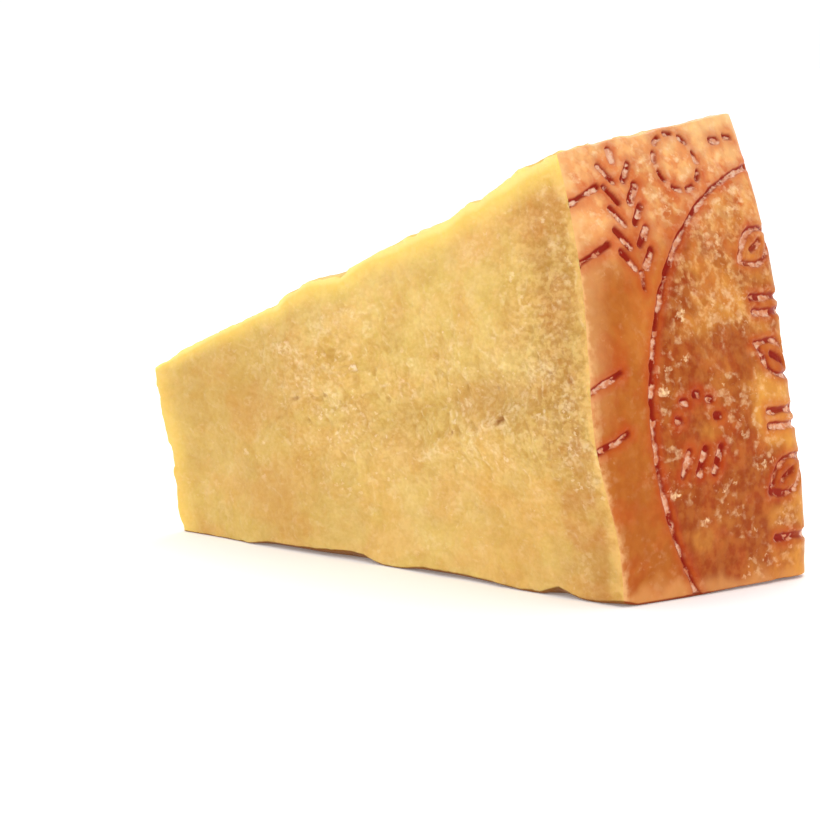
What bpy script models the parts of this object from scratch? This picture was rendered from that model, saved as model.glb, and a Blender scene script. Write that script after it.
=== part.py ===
"""A wedge broken from a wheel of hard aged cheese, lying on one of its radial breaks.

The wheel's axis lies level, along Y, and the shape is worked out about it: X and Z are measured
from the axis, and Y from the front break. The wedge runs along X from its blunt tip to the rind.
It is one solid: a box with rounded edges, bent so that its far end follows the wheel, with the
relief of the broken faces added and the pressed marks cut out of the rind.
Sizes are in metres.
"""

import itertools
import math

import bmesh
import bpy
import numpy as np
from mathutils import Euler, Vector

NAME = "cheese_wedge"

# The wheel and the slice
WHEEL_RADIUS = 0.210
SLICE_THICKNESS = 0.0560
TOP_ANGLE_FRONT = math.radians(24.46)
TOP_ANGLE_PER_METRE = math.radians(39.0)
TIP_BOTTOM_X = 0.0766
TIP_TOP_X = 0.0689
TIP_TOP_Z = 0.0362
TOP_RISE_TO_BACK = 0.154

# The rind swells a little between the wheel's two flat sides
SWELL = 0.0014
SWELL_AT_Y = 0.040

# Rounding: crisp along the breaks, soft where the rind turns to the back. It softens between
# these shares of the way from front to back, and of the way from tip to rind.
EDGE_ROUNDING = 0.0008
BACK_RIND_ROUNDING = 0.0060
SOFT_ACROSS = (0.3, 0.8)
SOFT_ALONG = (0.7, 0.9)

# The front break bulges beside the rind, with a long hollow and a crest under it
BULGE = 0.0058
BULGE_Z = 0.034
BULGE_REACH_DOWN = 0.0198
BULGE_REACH_UP = 0.031
BULGE_FROM_X = 0.150
BULGE_TO_X = 0.205
BULGE_LEAST = 0.15
HOLLOW = 0.0016
HOLLOW_X = 0.176
HOLLOW_Z = 0.037
HOLLOW_SLOPE = 0.22
HOLLOW_LENGTH = 0.024
HOLLOW_WIDTH = 0.0045
CREST = 0.0009
CREST_BELOW = 0.0065

# The back break dips inwards beside the rind
BACK_DIP = 0.0016
BACK_DIP_Z = 0.038
BACK_DIP_REACH = 0.016
BACK_DIP_FROM_X = 0.165

# Uneven breaks: a coarse and a finer random swell, as (size of a swell, height). They die away
# towards the rind, and on the front break they fall to a share of their height.
FRONT_SWELLS = ((0.024, 0.0010), (0.011, 0.0006))
BACK_SWELLS = ((0.028, 0.0019), (0.012, 0.0009))
TOP_SWELLS = ((0.024, 0.0014), (0.011, 0.0007))
TIP_SWELLS = ((0.020, 0.0014), (0.011, 0.0008))
NOISE_CELLS = 16
LATTICE_TURN = np.array(Euler((0.7, 0.4, 0.9)).to_matrix())
CALM_BY_RIND = 0.012
FRONT_CALM_BY_RIND = 0.030
FRONT_CALM_SHARE = 0.3

# Steps along the top edge of the front break, as (X, rise), and their reach to the back
TOP_STEPS = (
    (0.070, -0.0003), (0.078, 0.0004), (0.086, 0.0004), (0.104, -0.0003), (0.110, -0.0004),
    (0.113, 0.0007), (0.120, 0.0006), (0.129, -0.0015), (0.132, -0.0009), (0.150, -0.0009),
    (0.1615, -0.0019), (0.167, -0.0006), (0.170, -0.0012), (0.1755, -0.0004), (0.181, 0.0009),
    (0.189, 0.0005), (0.193, 0.0),
)
TOP_STEP_REACH = 0.016

# Chips off the bottom edge of the front break, as (X, lift)
BOTTOM_CHIPS = (
    (0.100, 0.0), (0.106, 0.0010), (0.121, 0.0011), (0.1325, 0.0018), (0.136, 0.0014),
    (0.141, 0.0), (0.147, 0.0), (0.152, 0.0008), (0.158, 0.0010), (0.175, 0.0005),
    (0.181, 0.0), (0.1875, 0.0), (0.1925, 0.0018), (0.198, 0.0002), (0.202, 0.0),
    (0.210, 0.0009),
)
BOTTOM_CHIP_REACH = 0.0036

# Steps of the surface mesh between the rounded edges, along X, Y and Z
STEPS = (35, 12, 20)

# Pressed marks. A place on the rind is (Y, height along the curve of the rind). The tube that
# cuts a stroke has ends that reach out by a share of its width and narrow to a share of it.
MARK_DEPTH = 0.0009
MARK_SINK = 0.0002
THIN_LINE = 0.0013
WIDE_LINE = 0.0017
TUBE_SIDES = 6
END_REACH = 0.35
END_SHARE = 0.5
MOST_TURN = 0.98

RING_CENTRE = (0.064, 0.032)
RING_RADIUS = 0.054
RING_ANGLES = (math.radians(101.0), math.radians(221.0))
RING_POINTS = 27

EAR_Y = 0.0138
EAR_BOTTOM = 0.0655
EAR_PAIRS = 5
EAR_PITCH = 0.0044
EAR_SPREAD = 0.0030
KERNEL_LENGTH = 0.0042
KERNEL_TILT = math.radians(52.0)

DASH_RING_CENTRE = (0.0315, 0.0864)
DASH_RING_RADIUS = 0.0060
DASH_RING_DASHES = 9
DASH_SHARE = 0.42

BORDER_DASH_HEIGHTS = (0.0790, 0.0670, 0.0420, 0.0300)
BORDER_DASH_LENGTH = 0.0100
BORDER_DASH_TILT = math.radians(20.0)

GRAINS = ((0.0485, 0.0680, 28.0), (0.0485, 0.0450, -28.0), (0.0480, 0.0215, 28.0))
GRAIN_LENGTH = 0.0135
GRAIN_WIDTH = 0.0066
GRAIN_POINTS = 8
CREASE_LENGTH = 0.0040
EDGE_BAR_HEIGHTS = (0.0575, 0.0545, 0.0345, 0.0315, 0.0090)
EDGE_BAR_YS = (0.0435, 0.0485, 0.0505, 0.0525, 0.0540)

DOT_ARC_CENTRE = (0.0225, 0.0340)
DOT_ARC_RADIUS = 0.0056
DOT_ARC_ANGLES = (math.radians(8.0), math.radians(172.0))
DOTS = 5
SLANTS_Y = (0.0170, 0.0215, 0.0260)
SLANT_HEIGHT = 0.0240
SLANT_LENGTH = 0.0052
SLANT_TILT = math.radians(62.0)
CORNER_DOTS = ((0.0440, 0.0905), (0.0485, 0.0912))
DOT_LENGTH = 0.0008


def smooth(t):
    """0 up to t = 0 and 1 from t = 1, level at both ends."""
    t = np.clip(t, 0.0, 1.0)
    return t * t * (3.0 - 2.0 * t)


def between(t, ends):
    """0 before the first of the two ends and 1 past the second, with a smooth rise."""
    return smooth((t - ends[0]) / (ends[1] - ends[0]))


def noise(x, y, z, cell, seed):
    """Smooth random swells, about -1 to 1.

    Each corner of a lattice of this cell has a random slope, and the eight slopes round a point
    are blended. The lattice is turned, so that its rows don't follow the breaks.
    """
    slopes = np.random.default_rng(seed).normal(size=(NOISE_CELLS,) * 3 + (3,))
    place = np.stack(np.broadcast_arrays(x, y, z), axis=-1) @ LATTICE_TURN / cell
    corner = np.floor(place).astype(int)
    past = place - corner
    blend = smooth(past)
    total = 0.0
    for step in itertools.product((0, 1), repeat=3):
        i, j, k = np.moveaxis((corner + step) % NOISE_CELLS, -1, 0)
        weight = np.prod(np.where(step, blend, 1.0 - blend), axis=-1)
        total = total + weight * ((past - step) * slopes[i, j, k]).sum(axis=-1)
    return total


def swells(x, y, z, sizes, seed):
    """The sum of one random field for each (cell, height)."""
    return sum(
        height * noise(x, y, z, cell, seed + number)
        for number, (cell, height) in enumerate(sizes)
    )


def front_relief(x, z):
    """How far the front break stands out, towards -Y."""
    reach = np.where(z < BULGE_Z, BULGE_REACH_DOWN, BULGE_REACH_UP)
    near_rind = (x - BULGE_FROM_X) / (BULGE_TO_X - BULGE_FROM_X)
    fade = BULGE_LEAST + (1.0 - BULGE_LEAST) * smooth(near_rind)
    bulge = BULGE * np.exp(-(((z - BULGE_Z) / reach) ** 2)) * fade
    above = z - HOLLOW_Z - HOLLOW_SLOPE * (x - HOLLOW_X)
    along = np.exp(-(((x - HOLLOW_X) / HOLLOW_LENGTH) ** 2))
    hollow = HOLLOW * np.exp(-((above / HOLLOW_WIDTH) ** 2)) * along
    crest = CREST * np.exp(-(((above + CREST_BELOW) / HOLLOW_WIDTH) ** 2)) * along
    off_rind = smooth((WHEEL_RADIUS - x) / FRONT_CALM_BY_RIND)
    calm = FRONT_CALM_SHARE + (1.0 - FRONT_CALM_SHARE) * off_rind
    return bulge - hollow + crest + calm * swells(x, 0.0, z, FRONT_SWELLS, 11)


def back_relief(x, z):
    """How far the back break stands out, towards +Y: swells that die away at the rind, and a dip."""
    off_rind = smooth((WHEEL_RADIUS - BACK_RIND_ROUNDING - x) / CALM_BY_RIND)
    by_rind = smooth((x - BACK_DIP_FROM_X) / (WHEEL_RADIUS - BACK_DIP_FROM_X))
    dip = BACK_DIP * np.exp(-(((z - BACK_DIP_Z) / BACK_DIP_REACH) ** 2)) * by_rind
    return swells(x, 0.0, z, BACK_SWELLS, 21) * off_rind - dip


def top_relief(x, y):
    """The rise of the top break: the front edge's steps, turning into random swells to the back."""
    steps = np.interp(x, *np.transpose(TOP_STEPS))
    at_front = np.exp(-((np.maximum(y, 0.0) / TOP_STEP_REACH) ** 2))
    off_rind = smooth((WHEEL_RADIUS * math.cos(TOP_ANGLE_FRONT) - x) / CALM_BY_RIND)
    return steps * at_front + swells(x, y, 0.0, TOP_SWELLS, 31) * (1.0 - at_front) * off_rind


def rind_radius(y):
    """The wheel's radius at this Y, with its slight swell."""
    return WHEEL_RADIUS + SWELL * (1.0 - ((y - SWELL_AT_Y) / SWELL_AT_Y) ** 2)


def rounded(place, size):
    """Points of a box's surface drawn in to rounded edges.

    Each side has a margin in which its edges bend: the box inside the margins stays, and the rest
    is drawn onto quarter ellipses.
    """
    along, across = place[:, 0] / size[0], place[:, 1] / size[1]
    extra = BACK_RIND_ROUNDING - EDGE_ROUNDING
    low = np.full_like(place, EDGE_ROUNDING)
    high = np.full_like(place, EDGE_ROUNDING)
    high[:, 0] += extra * between(across, SOFT_ACROSS)
    high[:, 1] += extra * between(along, SOFT_ALONG)
    over_low = np.maximum(low - place, 0.0)
    over_high = np.maximum(place - (size - high), 0.0)
    inner = place + over_low - over_high
    pull = over_high / high - over_low / low
    pull /= np.linalg.norm(pull, axis=1, keepdims=True)
    return inner + np.where(pull > 0.0, high, low) * pull


def bent(place, size):
    """Points of the rounded box bent into the wedge: along X to the rind, Y to the back, Z up."""
    u, w, v = (place / size).T
    x_flat = TIP_BOTTOM_X + u * (WHEEL_RADIUS - TIP_BOTTOM_X)
    z_flat = v * (TIP_TOP_Z + u * (WHEEL_RADIUS * math.sin(TOP_ANGLE_FRONT) - TIP_TOP_Z))
    y = SLICE_THICKNESS * w
    y = y - (1.0 - w) * front_relief(x_flat, z_flat) + w * back_relief(x_flat, z_flat)
    angle = v * (TOP_ANGLE_FRONT + TOP_ANGLE_PER_METRE * y)
    radius = rind_radius(y)
    tip_x = TIP_BOTTOM_X + v * (TIP_TOP_X - TIP_BOTTOM_X)
    tip_x = tip_x + swells(0.0, y, z_flat, TIP_SWELLS, 41) * np.minimum(1.0, 4.0 * w)
    tip_z = v * (TIP_TOP_Z + TOP_RISE_TO_BACK * y)
    x = (1.0 - u) * tip_x + u * radius * np.cos(angle)
    z = (1.0 - u) * tip_z + u * radius * np.sin(angle)
    z = z + v * top_relief(x, y)
    from_front = (y + front_relief(x_flat, z_flat)) / BOTTOM_CHIP_REACH
    chip = np.interp(x, *np.transpose(BOTTOM_CHIPS)) * np.clip(1.0 - from_front, 0.0, 1.0)
    z = z + chip * (1.0 - v) ** 8
    return np.column_stack([x, y, z])


def stops(length, count, first, last):
    """Where the surface mesh is divided along one side: closer together in the rounded ends."""
    middle = np.linspace(first, length - last, count + 1)
    if last <= EDGE_ROUNDING:
        return np.concatenate([[0.0], middle, [length]])
    half_way = length - last * (1.0 - math.tan(math.radians(22.5)))
    return np.concatenate([[0.0], middle, [half_way, length]])


def box_surface(sides):
    """Corners and outward quads of a box's surface, divided at these stops along X, Y and Z."""
    shape = [len(side) for side in sides]
    grid = np.stack(np.meshgrid(*[np.arange(n) for n in shape], indexing="ij"), axis=-1)
    outside = ((grid == 0) | (grid == np.array(shape) - 1)).any(axis=-1)
    number = np.full(shape, -1)
    number[outside] = np.arange(outside.sum())
    corners = np.column_stack([sides[axis][grid[outside][:, axis]] for axis in range(3)])
    quads = []
    for axis in range(3):
        for end in (0, -1):
            sheet = np.take(number, end, axis=axis)
            ring = [sheet[:-1, :-1], sheet[1:, :-1], sheet[1:, 1:], sheet[:-1, 1:]]
            turned = (end == 0) != (axis == 1)
            quads.append(np.stack(ring[::-1] if turned else ring, axis=-1).reshape(-1, 4))
    return corners, np.concatenate(quads)


def wedge_mesh(materials):
    """The wedge before its marks are pressed, with the rind's faces in the second material."""
    length = WHEEL_RADIUS - (TIP_BOTTOM_X + TIP_TOP_X) / 2
    height = WHEEL_RADIUS * math.sin(TOP_ANGLE_FRONT)
    size = np.array([length, SLICE_THICKNESS, height])
    sides = [
        stops(length, STEPS[0], EDGE_ROUNDING, BACK_RIND_ROUNDING),
        stops(SLICE_THICKNESS, STEPS[1], EDGE_ROUNDING, BACK_RIND_ROUNDING),
        stops(height, STEPS[2], EDGE_ROUNDING, EDGE_ROUNDING),
    ]
    corners, quads = box_surface(sides)
    points = bent(rounded(corners, size), size)
    mesh = bpy.data.meshes.new(NAME)
    mesh.from_pydata(points.tolist(), [], quads.tolist())
    for material in materials:
        mesh.materials.append(material)
    middles = corners[quads].mean(axis=1)
    at_end = middles[:, 0] > length - EDGE_ROUNDING / 2
    round_the_back = (middles[:, 0] > length - BACK_RIND_ROUNDING) & (
        middles[:, 1] > SLICE_THICKNESS - EDGE_ROUNDING / 2
    )
    mesh.polygons.foreach_set("material_index", (at_end | round_the_back).astype(int))
    mesh.update()
    return mesh


def line(start, length, tilt):
    """Two ends of a straight stroke that begins at start and climbs at this tilt."""
    y, s = start
    return [(y, s), (y + length * math.cos(tilt), s + length * math.sin(tilt))]


def arc(centre, radius, start, end, count):
    """Points of an arc on the rind, from one angle to another."""
    return [
        (centre[0] + radius * math.cos(angle), centre[1] + radius * math.sin(angle))
        for angle in np.linspace(start, end, count)
    ]


def grain(centre, turn):
    """A closed outline with two pointed ends, turned about its centre."""
    outline = []
    for side in (1.0, -1.0):
        for step in range(GRAIN_POINTS):
            t = step / GRAIN_POINTS
            along = side * GRAIN_LENGTH * (t - 0.5)
            aside = side * GRAIN_WIDTH / 2 * math.sin(math.pi * t)
            outline.append((
                centre[0] + along * math.cos(turn) - aside * math.sin(turn),
                centre[1] + along * math.sin(turn) + aside * math.cos(turn),
            ))
    return outline


def marks():
    """Every pressed stroke, as (its points on the rind, its width, whether it closes on itself)."""
    strokes = [(arc(RING_CENTRE, RING_RADIUS, *RING_ANGLES, RING_POINTS), THIN_LINE, False)]
    stem = [(EAR_Y, EAR_BOTTOM - EAR_PITCH), (EAR_Y, EAR_BOTTOM - EAR_PITCH / 4)]
    strokes.append((stem, THIN_LINE, False))
    for pair in range(EAR_PAIRS):
        low = EAR_BOTTOM + pair * EAR_PITCH
        for side in (-1.0, 1.0):
            foot = (EAR_Y + side * EAR_SPREAD / 2, low)
            tip = (
                foot[0] + side * KERNEL_LENGTH * math.cos(KERNEL_TILT),
                low + KERNEL_LENGTH * math.sin(KERNEL_TILT),
            )
            strokes.append(([foot, tip], WIDE_LINE, False))
    top = EAR_BOTTOM + EAR_PAIRS * EAR_PITCH
    strokes.append(([(EAR_Y, top), (EAR_Y, top + EAR_PITCH / 2)], WIDE_LINE, False))
    turn = 2.0 * math.pi / DASH_RING_DASHES
    for dash in range(DASH_RING_DASHES):
        start = dash * turn
        strokes.append((
            arc(DASH_RING_CENTRE, DASH_RING_RADIUS, start, start + DASH_SHARE * turn, 2),
            THIN_LINE,
            False,
        ))
    for s in BORDER_DASH_HEIGHTS:
        border = -front_relief(WHEEL_RADIUS, s) - MARK_DEPTH
        start = (float(border), s)
        strokes.append((line(start, BORDER_DASH_LENGTH, BORDER_DASH_TILT), THIN_LINE, False))
    for y, s, degrees in GRAINS:
        turn = math.radians(degrees)
        strokes.append((grain((y, s), turn), THIN_LINE, True))
        half = CREASE_LENGTH / 2
        start = (y - half * math.cos(turn), s - half * math.sin(turn))
        strokes.append((line(start, CREASE_LENGTH, turn), THIN_LINE, False))
    for s in EDGE_BAR_HEIGHTS:
        strokes.append(([(y, s) for y in EDGE_BAR_YS], WIDE_LINE, False))
    for y, s in arc(DOT_ARC_CENTRE, DOT_ARC_RADIUS, *DOT_ARC_ANGLES, DOTS):
        strokes.append(([(y, s), (y + DOT_LENGTH, s)], WIDE_LINE, False))
    for y in SLANTS_Y:
        strokes.append((line((y, SLANT_HEIGHT), SLANT_LENGTH, SLANT_TILT), WIDE_LINE, False))
    for y, s in CORNER_DOTS:
        strokes.append(([(y, s), (y + 2 * DOT_LENGTH, s)], WIDE_LINE, False))
    return strokes


def on_rind(y, s):
    """The place and the outward direction of a point of the rind, its soft back edge included."""
    back = SLICE_THICKNESS + float(back_relief(WHEEL_RADIUS, s))
    past = min(max(y - back + BACK_RIND_ROUNDING, 0.0), BACK_RIND_ROUNDING * MOST_TURN)
    drop = BACK_RIND_ROUNDING - math.sqrt(BACK_RIND_ROUNDING**2 - past**2)
    angle = s / WHEEL_RADIUS
    radius = float(rind_radius(y)) - drop
    lean = math.asin(past / BACK_RIND_ROUNDING)
    outward = Vector((math.cos(angle) * math.cos(lean), math.sin(lean), math.sin(angle) * math.cos(lean)))
    return Vector((radius * math.cos(angle), y, radius * math.sin(angle))), outward


def add_stroke(bm, path, width, closed):
    """A tube along the path, sunk in the rind: it cuts a groove of this width."""
    placed = [on_rind(y, s) for y, s in path]
    count = len(placed)
    rings = []
    for i, (place, outward) in enumerate(placed):
        before = placed[i - 1][0] if closed or i > 0 else place
        after = placed[(i + 1) % count][0] if closed or i < count - 1 else place
        along = (after - before).normalized()
        rings.append((place - outward * MARK_SINK, along, outward, 1.0))
    if not closed:
        place, along, outward, _ = rings[0]
        rings.insert(0, (place - along * width * END_REACH, along, outward, END_SHARE))
        place, along, outward, _ = rings[-1]
        rings.append((place + along * width * END_REACH, along, outward, END_SHARE))
    loops = []
    for place, along, outward, scale in rings:
        aside = along.cross(outward).normalized()
        loop = []
        for step in range(TUBE_SIDES):
            angle = 2.0 * math.pi * step / TUBE_SIDES
            reach = aside * (math.cos(angle) * width / 2)
            reach += outward * (math.sin(angle) * (MARK_DEPTH - MARK_SINK))
            loop.append(bm.verts.new(place + reach * scale))
        loops.append(loop)
    pairs = zip(loops, loops[1:] + loops[:1]) if closed else zip(loops, loops[1:])
    for low, high in pairs:
        for step in range(TUBE_SIDES):
            following = (step + 1) % TUBE_SIDES
            bm.faces.new([low[step], low[following], high[following], high[step]])
    if not closed:
        bm.faces.new(loops[0][::-1])
        bm.faces.new(loops[-1])


def marks_cutter():
    """One hidden object with a closed tube for each stroke."""
    bm = bmesh.new()
    for path, width, closed in marks():
        add_stroke(bm, path, width, closed)
    bmesh.ops.recalc_face_normals(bm, faces=bm.faces)
    mesh = bpy.data.meshes.new("marks_cutter")
    bm.to_mesh(mesh)
    bm.free()
    cutter = bpy.data.objects.new("marks_cutter", mesh)
    cutter.hide_render = True
    cutter.display_type = "WIRE"
    bpy.context.scene.collection.objects.link(cutter)
    return cutter


def food_material(name, colour, roughness):
    """A plain Principled material."""
    material = bpy.data.materials.new(name)
    material.use_nodes = True
    shader = material.node_tree.nodes["Principled BSDF"]
    shader.inputs["Base Color"].default_value = (*colour, 1.0)
    shader.inputs["Roughness"].default_value = roughness
    shader.inputs["Metallic"].default_value = 0.0
    return material


def main():
    for leftover in list(bpy.data.objects):
        bpy.data.objects.remove(leftover)
    paste = food_material("cheese_paste", (0.77, 0.50, 0.17), 0.55)
    rind = food_material("cheese_rind", (0.50, 0.13, 0.03), 0.42)
    wedge = bpy.data.objects.new(NAME, wedge_mesh((paste, rind)))
    bpy.context.scene.collection.objects.link(wedge)
    cutter = marks_cutter()

    # The origin goes to the middle of the box's underside
    corners = np.array([vertex.co for vertex in wedge.data.vertices])
    low, high = corners.min(axis=0), corners.max(axis=0)
    origin = Vector(((low[0] + high[0]) / 2, (low[1] + high[1]) / 2, low[2]))
    for thing in (wedge, cutter):
        for vertex in thing.data.vertices:
            vertex.co -= origin

    pressed = wedge.modifiers.new("pressed_marks", "BOOLEAN")
    pressed.operation = "DIFFERENCE"
    pressed.solver = "EXACT"
    pressed.object = cutter
    wedge.data.shade_smooth()
    wedge.data.set_sharp_from_angle(angle=math.radians(35.0))


main()
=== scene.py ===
"""The look of a wedge of hard aged cheese: crumbly golden paste and a waxy rind with pressed marks.

The wheel's axis lies level, along Y. The shape is worked out about it, with X and Z measured from
the axis and Y from the front break, and is then moved to its place in the frame. The surface is
one closed grid over a box, bent to the wedge, with the crumb of the breaks and the pressed marks
as real relief. Sizes are in metres.
"""

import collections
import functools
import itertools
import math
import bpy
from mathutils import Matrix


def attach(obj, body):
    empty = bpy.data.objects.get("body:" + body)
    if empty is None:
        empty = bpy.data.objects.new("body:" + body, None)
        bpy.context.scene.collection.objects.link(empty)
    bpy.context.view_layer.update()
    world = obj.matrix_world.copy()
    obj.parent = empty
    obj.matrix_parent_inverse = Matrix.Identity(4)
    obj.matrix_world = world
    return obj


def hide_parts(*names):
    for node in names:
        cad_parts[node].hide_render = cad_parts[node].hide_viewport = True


bl_info = {
    "name": "Hard cheese wedge",
    "version": (1, 0, 0),
    "blender": (4, 5, 0),
    "location": "3D View > Sidebar > Cheese",
    "description": "Makes a wedge of hard aged cheese and the pale stage it stands on",
    "category": "Add Mesh",
}

import bpy
import numpy as np
from mathutils import Euler, Matrix, Vector

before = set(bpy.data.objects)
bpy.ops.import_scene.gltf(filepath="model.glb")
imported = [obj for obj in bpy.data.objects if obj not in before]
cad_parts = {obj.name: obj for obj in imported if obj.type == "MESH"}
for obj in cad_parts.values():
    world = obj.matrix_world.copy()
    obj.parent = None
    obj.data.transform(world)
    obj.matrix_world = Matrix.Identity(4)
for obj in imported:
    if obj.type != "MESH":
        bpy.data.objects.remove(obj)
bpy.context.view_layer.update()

NAME = "cheese_wedge_surface"

# The wedge about the wheel's axis
TOP_ANGLE_FRONT = math.radians(24.46)
TOP_ANGLE_PER_METRE = math.radians(39.0)
TIP_BOTTOM_X = 0.0766
TIP_TOP_X = 0.0689
TIP_TOP_Z = 0.0362
TOP_RISE_TO_BACK = 0.154

# The rind's slight swell, and where the rounding of edges grows into that of the rind's back
# edge, as shares of the sides
SWELL = 0.0014
SWELL_AT_Y = 0.040
SOFT_ACROSS = (0.3, 0.8)
SOFT_ALONG = (0.7, 0.9)

# The front break's bulge, its long hollow and the crest under it, and the back break's dip
BULGE = 0.0058
BULGE_Z = 0.034
BULGE_REACH_DOWN = 0.0198
BULGE_REACH_UP = 0.031
BULGE_FROM_X = 0.150
BULGE_TO_X = 0.205
BULGE_LEAST = 0.15
HOLLOW = 0.0016
HOLLOW_X = 0.176
HOLLOW_Z = 0.037
HOLLOW_SLOPE = 0.22
HOLLOW_LENGTH = 0.024
HOLLOW_WIDTH = 0.0045
CREST = 0.0009
CREST_BELOW = 0.0065
BACK_DIP = 0.0016
BACK_DIP_Z = 0.038
BACK_DIP_REACH = 0.016
BACK_DIP_FROM_X = 0.165

# Uneven breaks, as (size of a swell, height), and how they calm near the rind
FRONT_SWELLS = ((0.024, 0.0010), (0.011, 0.0006))
BACK_SWELLS = ((0.028, 0.0019), (0.012, 0.0009))
TOP_SWELLS = ((0.024, 0.0014), (0.011, 0.0007))
TIP_SWELLS = ((0.020, 0.0014), (0.011, 0.0008))
TIP_SWELLS_GROW = 4.0
CALM_BY_RIND = 0.012
FRONT_CALM_BY_RIND = 0.030
FRONT_CALM_SHARE = 0.3

# The front's upper edge as (X, rise), and the chips of its lower edge as (X, height), with how far
# back they reach
TOP_STEPS = (
    (0.070, -0.0003), (0.078, 0.0004), (0.086, 0.0004), (0.104, -0.0003), (0.110, -0.0004),
    (0.113, 0.0007), (0.120, 0.0006), (0.129, -0.0015), (0.132, -0.0009), (0.150, -0.0009),
    (0.1615, -0.0019), (0.167, -0.0006), (0.170, -0.0012), (0.1755, -0.0004), (0.181, 0.0009),
    (0.189, 0.0005), (0.193, 0.0),
)
TOP_STEP_REACH = 0.016
BOTTOM_CHIPS = (
    (0.100, 0.0), (0.106, 0.0010), (0.121, 0.0011), (0.1325, 0.0018), (0.136, 0.0014),
    (0.141, 0.0), (0.147, 0.0), (0.152, 0.0008), (0.158, 0.0010), (0.175, 0.0005),
    (0.181, 0.0), (0.1875, 0.0), (0.1925, 0.0018), (0.198, 0.0002), (0.202, 0.0),
    (0.210, 0.0009),
)
BOTTOM_CHIP_REACH = 0.0036
BOTTOM_CHIP_FALL = 8

# Random lattices: the cells before a pattern comes again, for broad and for fine relief
BROAD_CELLS = 16
FINE_CELLS = 64
LATTICE_TURN = np.array(Euler((0.7, 0.4, 0.9)).to_matrix())

# The seed of each random field. One of several sizes takes the numbers that follow it too.
SEEDS = {
    "front": 11, "back": 21, "top": 31, "tip": 41, "crumb": 51, "flakes": 61, "ragged": 71,
    "broken": 72, "pits": 81, "rind": 91, "chips": 96, "glow": 97, "marks": 111,
}

# Fine relief, as (size, share of the set height): crumbs, the rind's grain, and the ragged edges
# of the marks. Crumbs are measured from a level, and are lower where the paste isn't crumbly.
CRUMB = ((0.0052, 1.0), (0.0024, 0.60), (0.0012, 0.34))
CRUMB_LEVEL = 0.25
CRUMB_LEAST = 0.6
RIND_GRAIN = ((0.0070, 1.0), (0.0022, 0.5))
MARK_RAGGED = ((0.0030, 0.22), (0.0012, 0.12))

# Flakes, as (size, weight), and the part of each stair that climbs
FLAKES = ((0.0085, 2.2), (0.0034, 0.9))
FLAKE_STEP = (0.74, 1.0)

# Random pits of the breaks and chips of the edges, and the values of their random fields at which
# they begin and are whole
PIT_SIZE = 0.0026
PIT_FROM_TO = (0.42, 0.72)
PIT_DEPTH = 0.8
CHIP_SIZE = 0.0042
CHIP_FROM_TO = (-0.1, 0.6)
CHIP_REACH = 0.0011

# Where the paste is crumbly, and where the front's grains are uneven
CRUMBLY_Z = 0.035
CRUMBLY_REACH = 0.017
CRUMBLY_FROM_X = (0.092, 0.125)
CRUMBLY_BY_RIND = (0.165, 0.195)
CRUMBLY_ABOVE = (0.018, 0.032)
CRUMBLY_BY_RIND_SHARE = 0.75
CRUMBLY_ELSEWHERE = 0.7
CRUMBLY_LEAST = 0.30
GRANULAR_X = (0.170, 0.196)
GRANULAR_ABOVE = (0.022, 0.034)
GRANULAR_BELOW = (0.064, 0.080)

# Torn crests on the front break, as (start X, start Z, end X, end Z, share of the flake height)
CRESTS = (
    (0.112, 0.045, 0.1205, 0.034, 1.2),
    (0.132, 0.052, 0.1425, 0.0455, 0.8),
    (0.1705, 0.0300, 0.1835, 0.0362, 1.2),
    (0.1545, 0.0245, 0.1630, 0.0262, 0.7),
    (0.1260, 0.0365, 0.1300, 0.0360, 0.9),
)
# Single slanting pits of the front break, as (X, Z, radius, share of the flake height)
FRONT_PITS = (
    (0.1808, 0.0345, 0.00075, 1.4),
    (0.1775, 0.0400, 0.00050, 0.7),
    (0.1935, 0.0445, 0.00045, 0.9),
    (0.1995, 0.0435, 0.00050, 0.9),
    (0.1640, 0.0300, 0.00060, 0.6),
    (0.1250, 0.0345, 0.00060, 0.6),
    (0.1160, 0.0330, 0.00050, 0.6),
)
# The slant and length of single pits, and their torn lips
PIT_SLOPE = 0.7
PIT_STRETCH = 2.2
PIT_LIP = 3.2
LIP_FIBRES = (0.15, 0.55)
# The width of crests, how far and how finely they waver, and where torn edges are broken off
CREST_WIDTH = 0.0011
CREST_RAGGED = 0.0026
CREST_RAGGED_SIZE = 0.0026
BREAK_SIZE = 0.0030
BREAK_FROM_TO = (-0.35, 0.25)

# How far a point faces a side's way where what belongs to that side begins, and where it is whole
RIND_FACING = (0.25, 0.8)
FRONT_FACING = (0.3, 0.8)
OFF_BASE_FACING = (-0.9, -0.2)
BASE_FACING = (0.1, 0.6)

# The painted glow of thin edges, a paler yellow that stands in for light coming through them: how
# far in it reaches and how unevenly, its share at the tip's edge and at edges other than the
# front's upper one, and how many times faster it fades round the edge
GLOW_REACH = 0.0085
GLOW_UNEVEN = 0.0011
GLOW_UNEVEN_SIZE = 0.009
GLOW_AT_TIP = 0.70
GLOW_ELSEWHERE = 0.30
GLOW_TURNS = 1.3
# The upper edge's painted glow loses one share of itself near the rind, and another on the top
# break
GLOW_FADES = 0.75
GLOW_FADE_X = (0.188, 0.206)
GLOW_DIMS = 0.5
GLOW_DIMS_FACING = (0.86, 1.0)

# Random patches that the materials read, as (size, seed): broad, middling, and fleck clusters
PATCHES = ((0.016, 101), (0.0085, 106), (0.012, 111))
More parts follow.
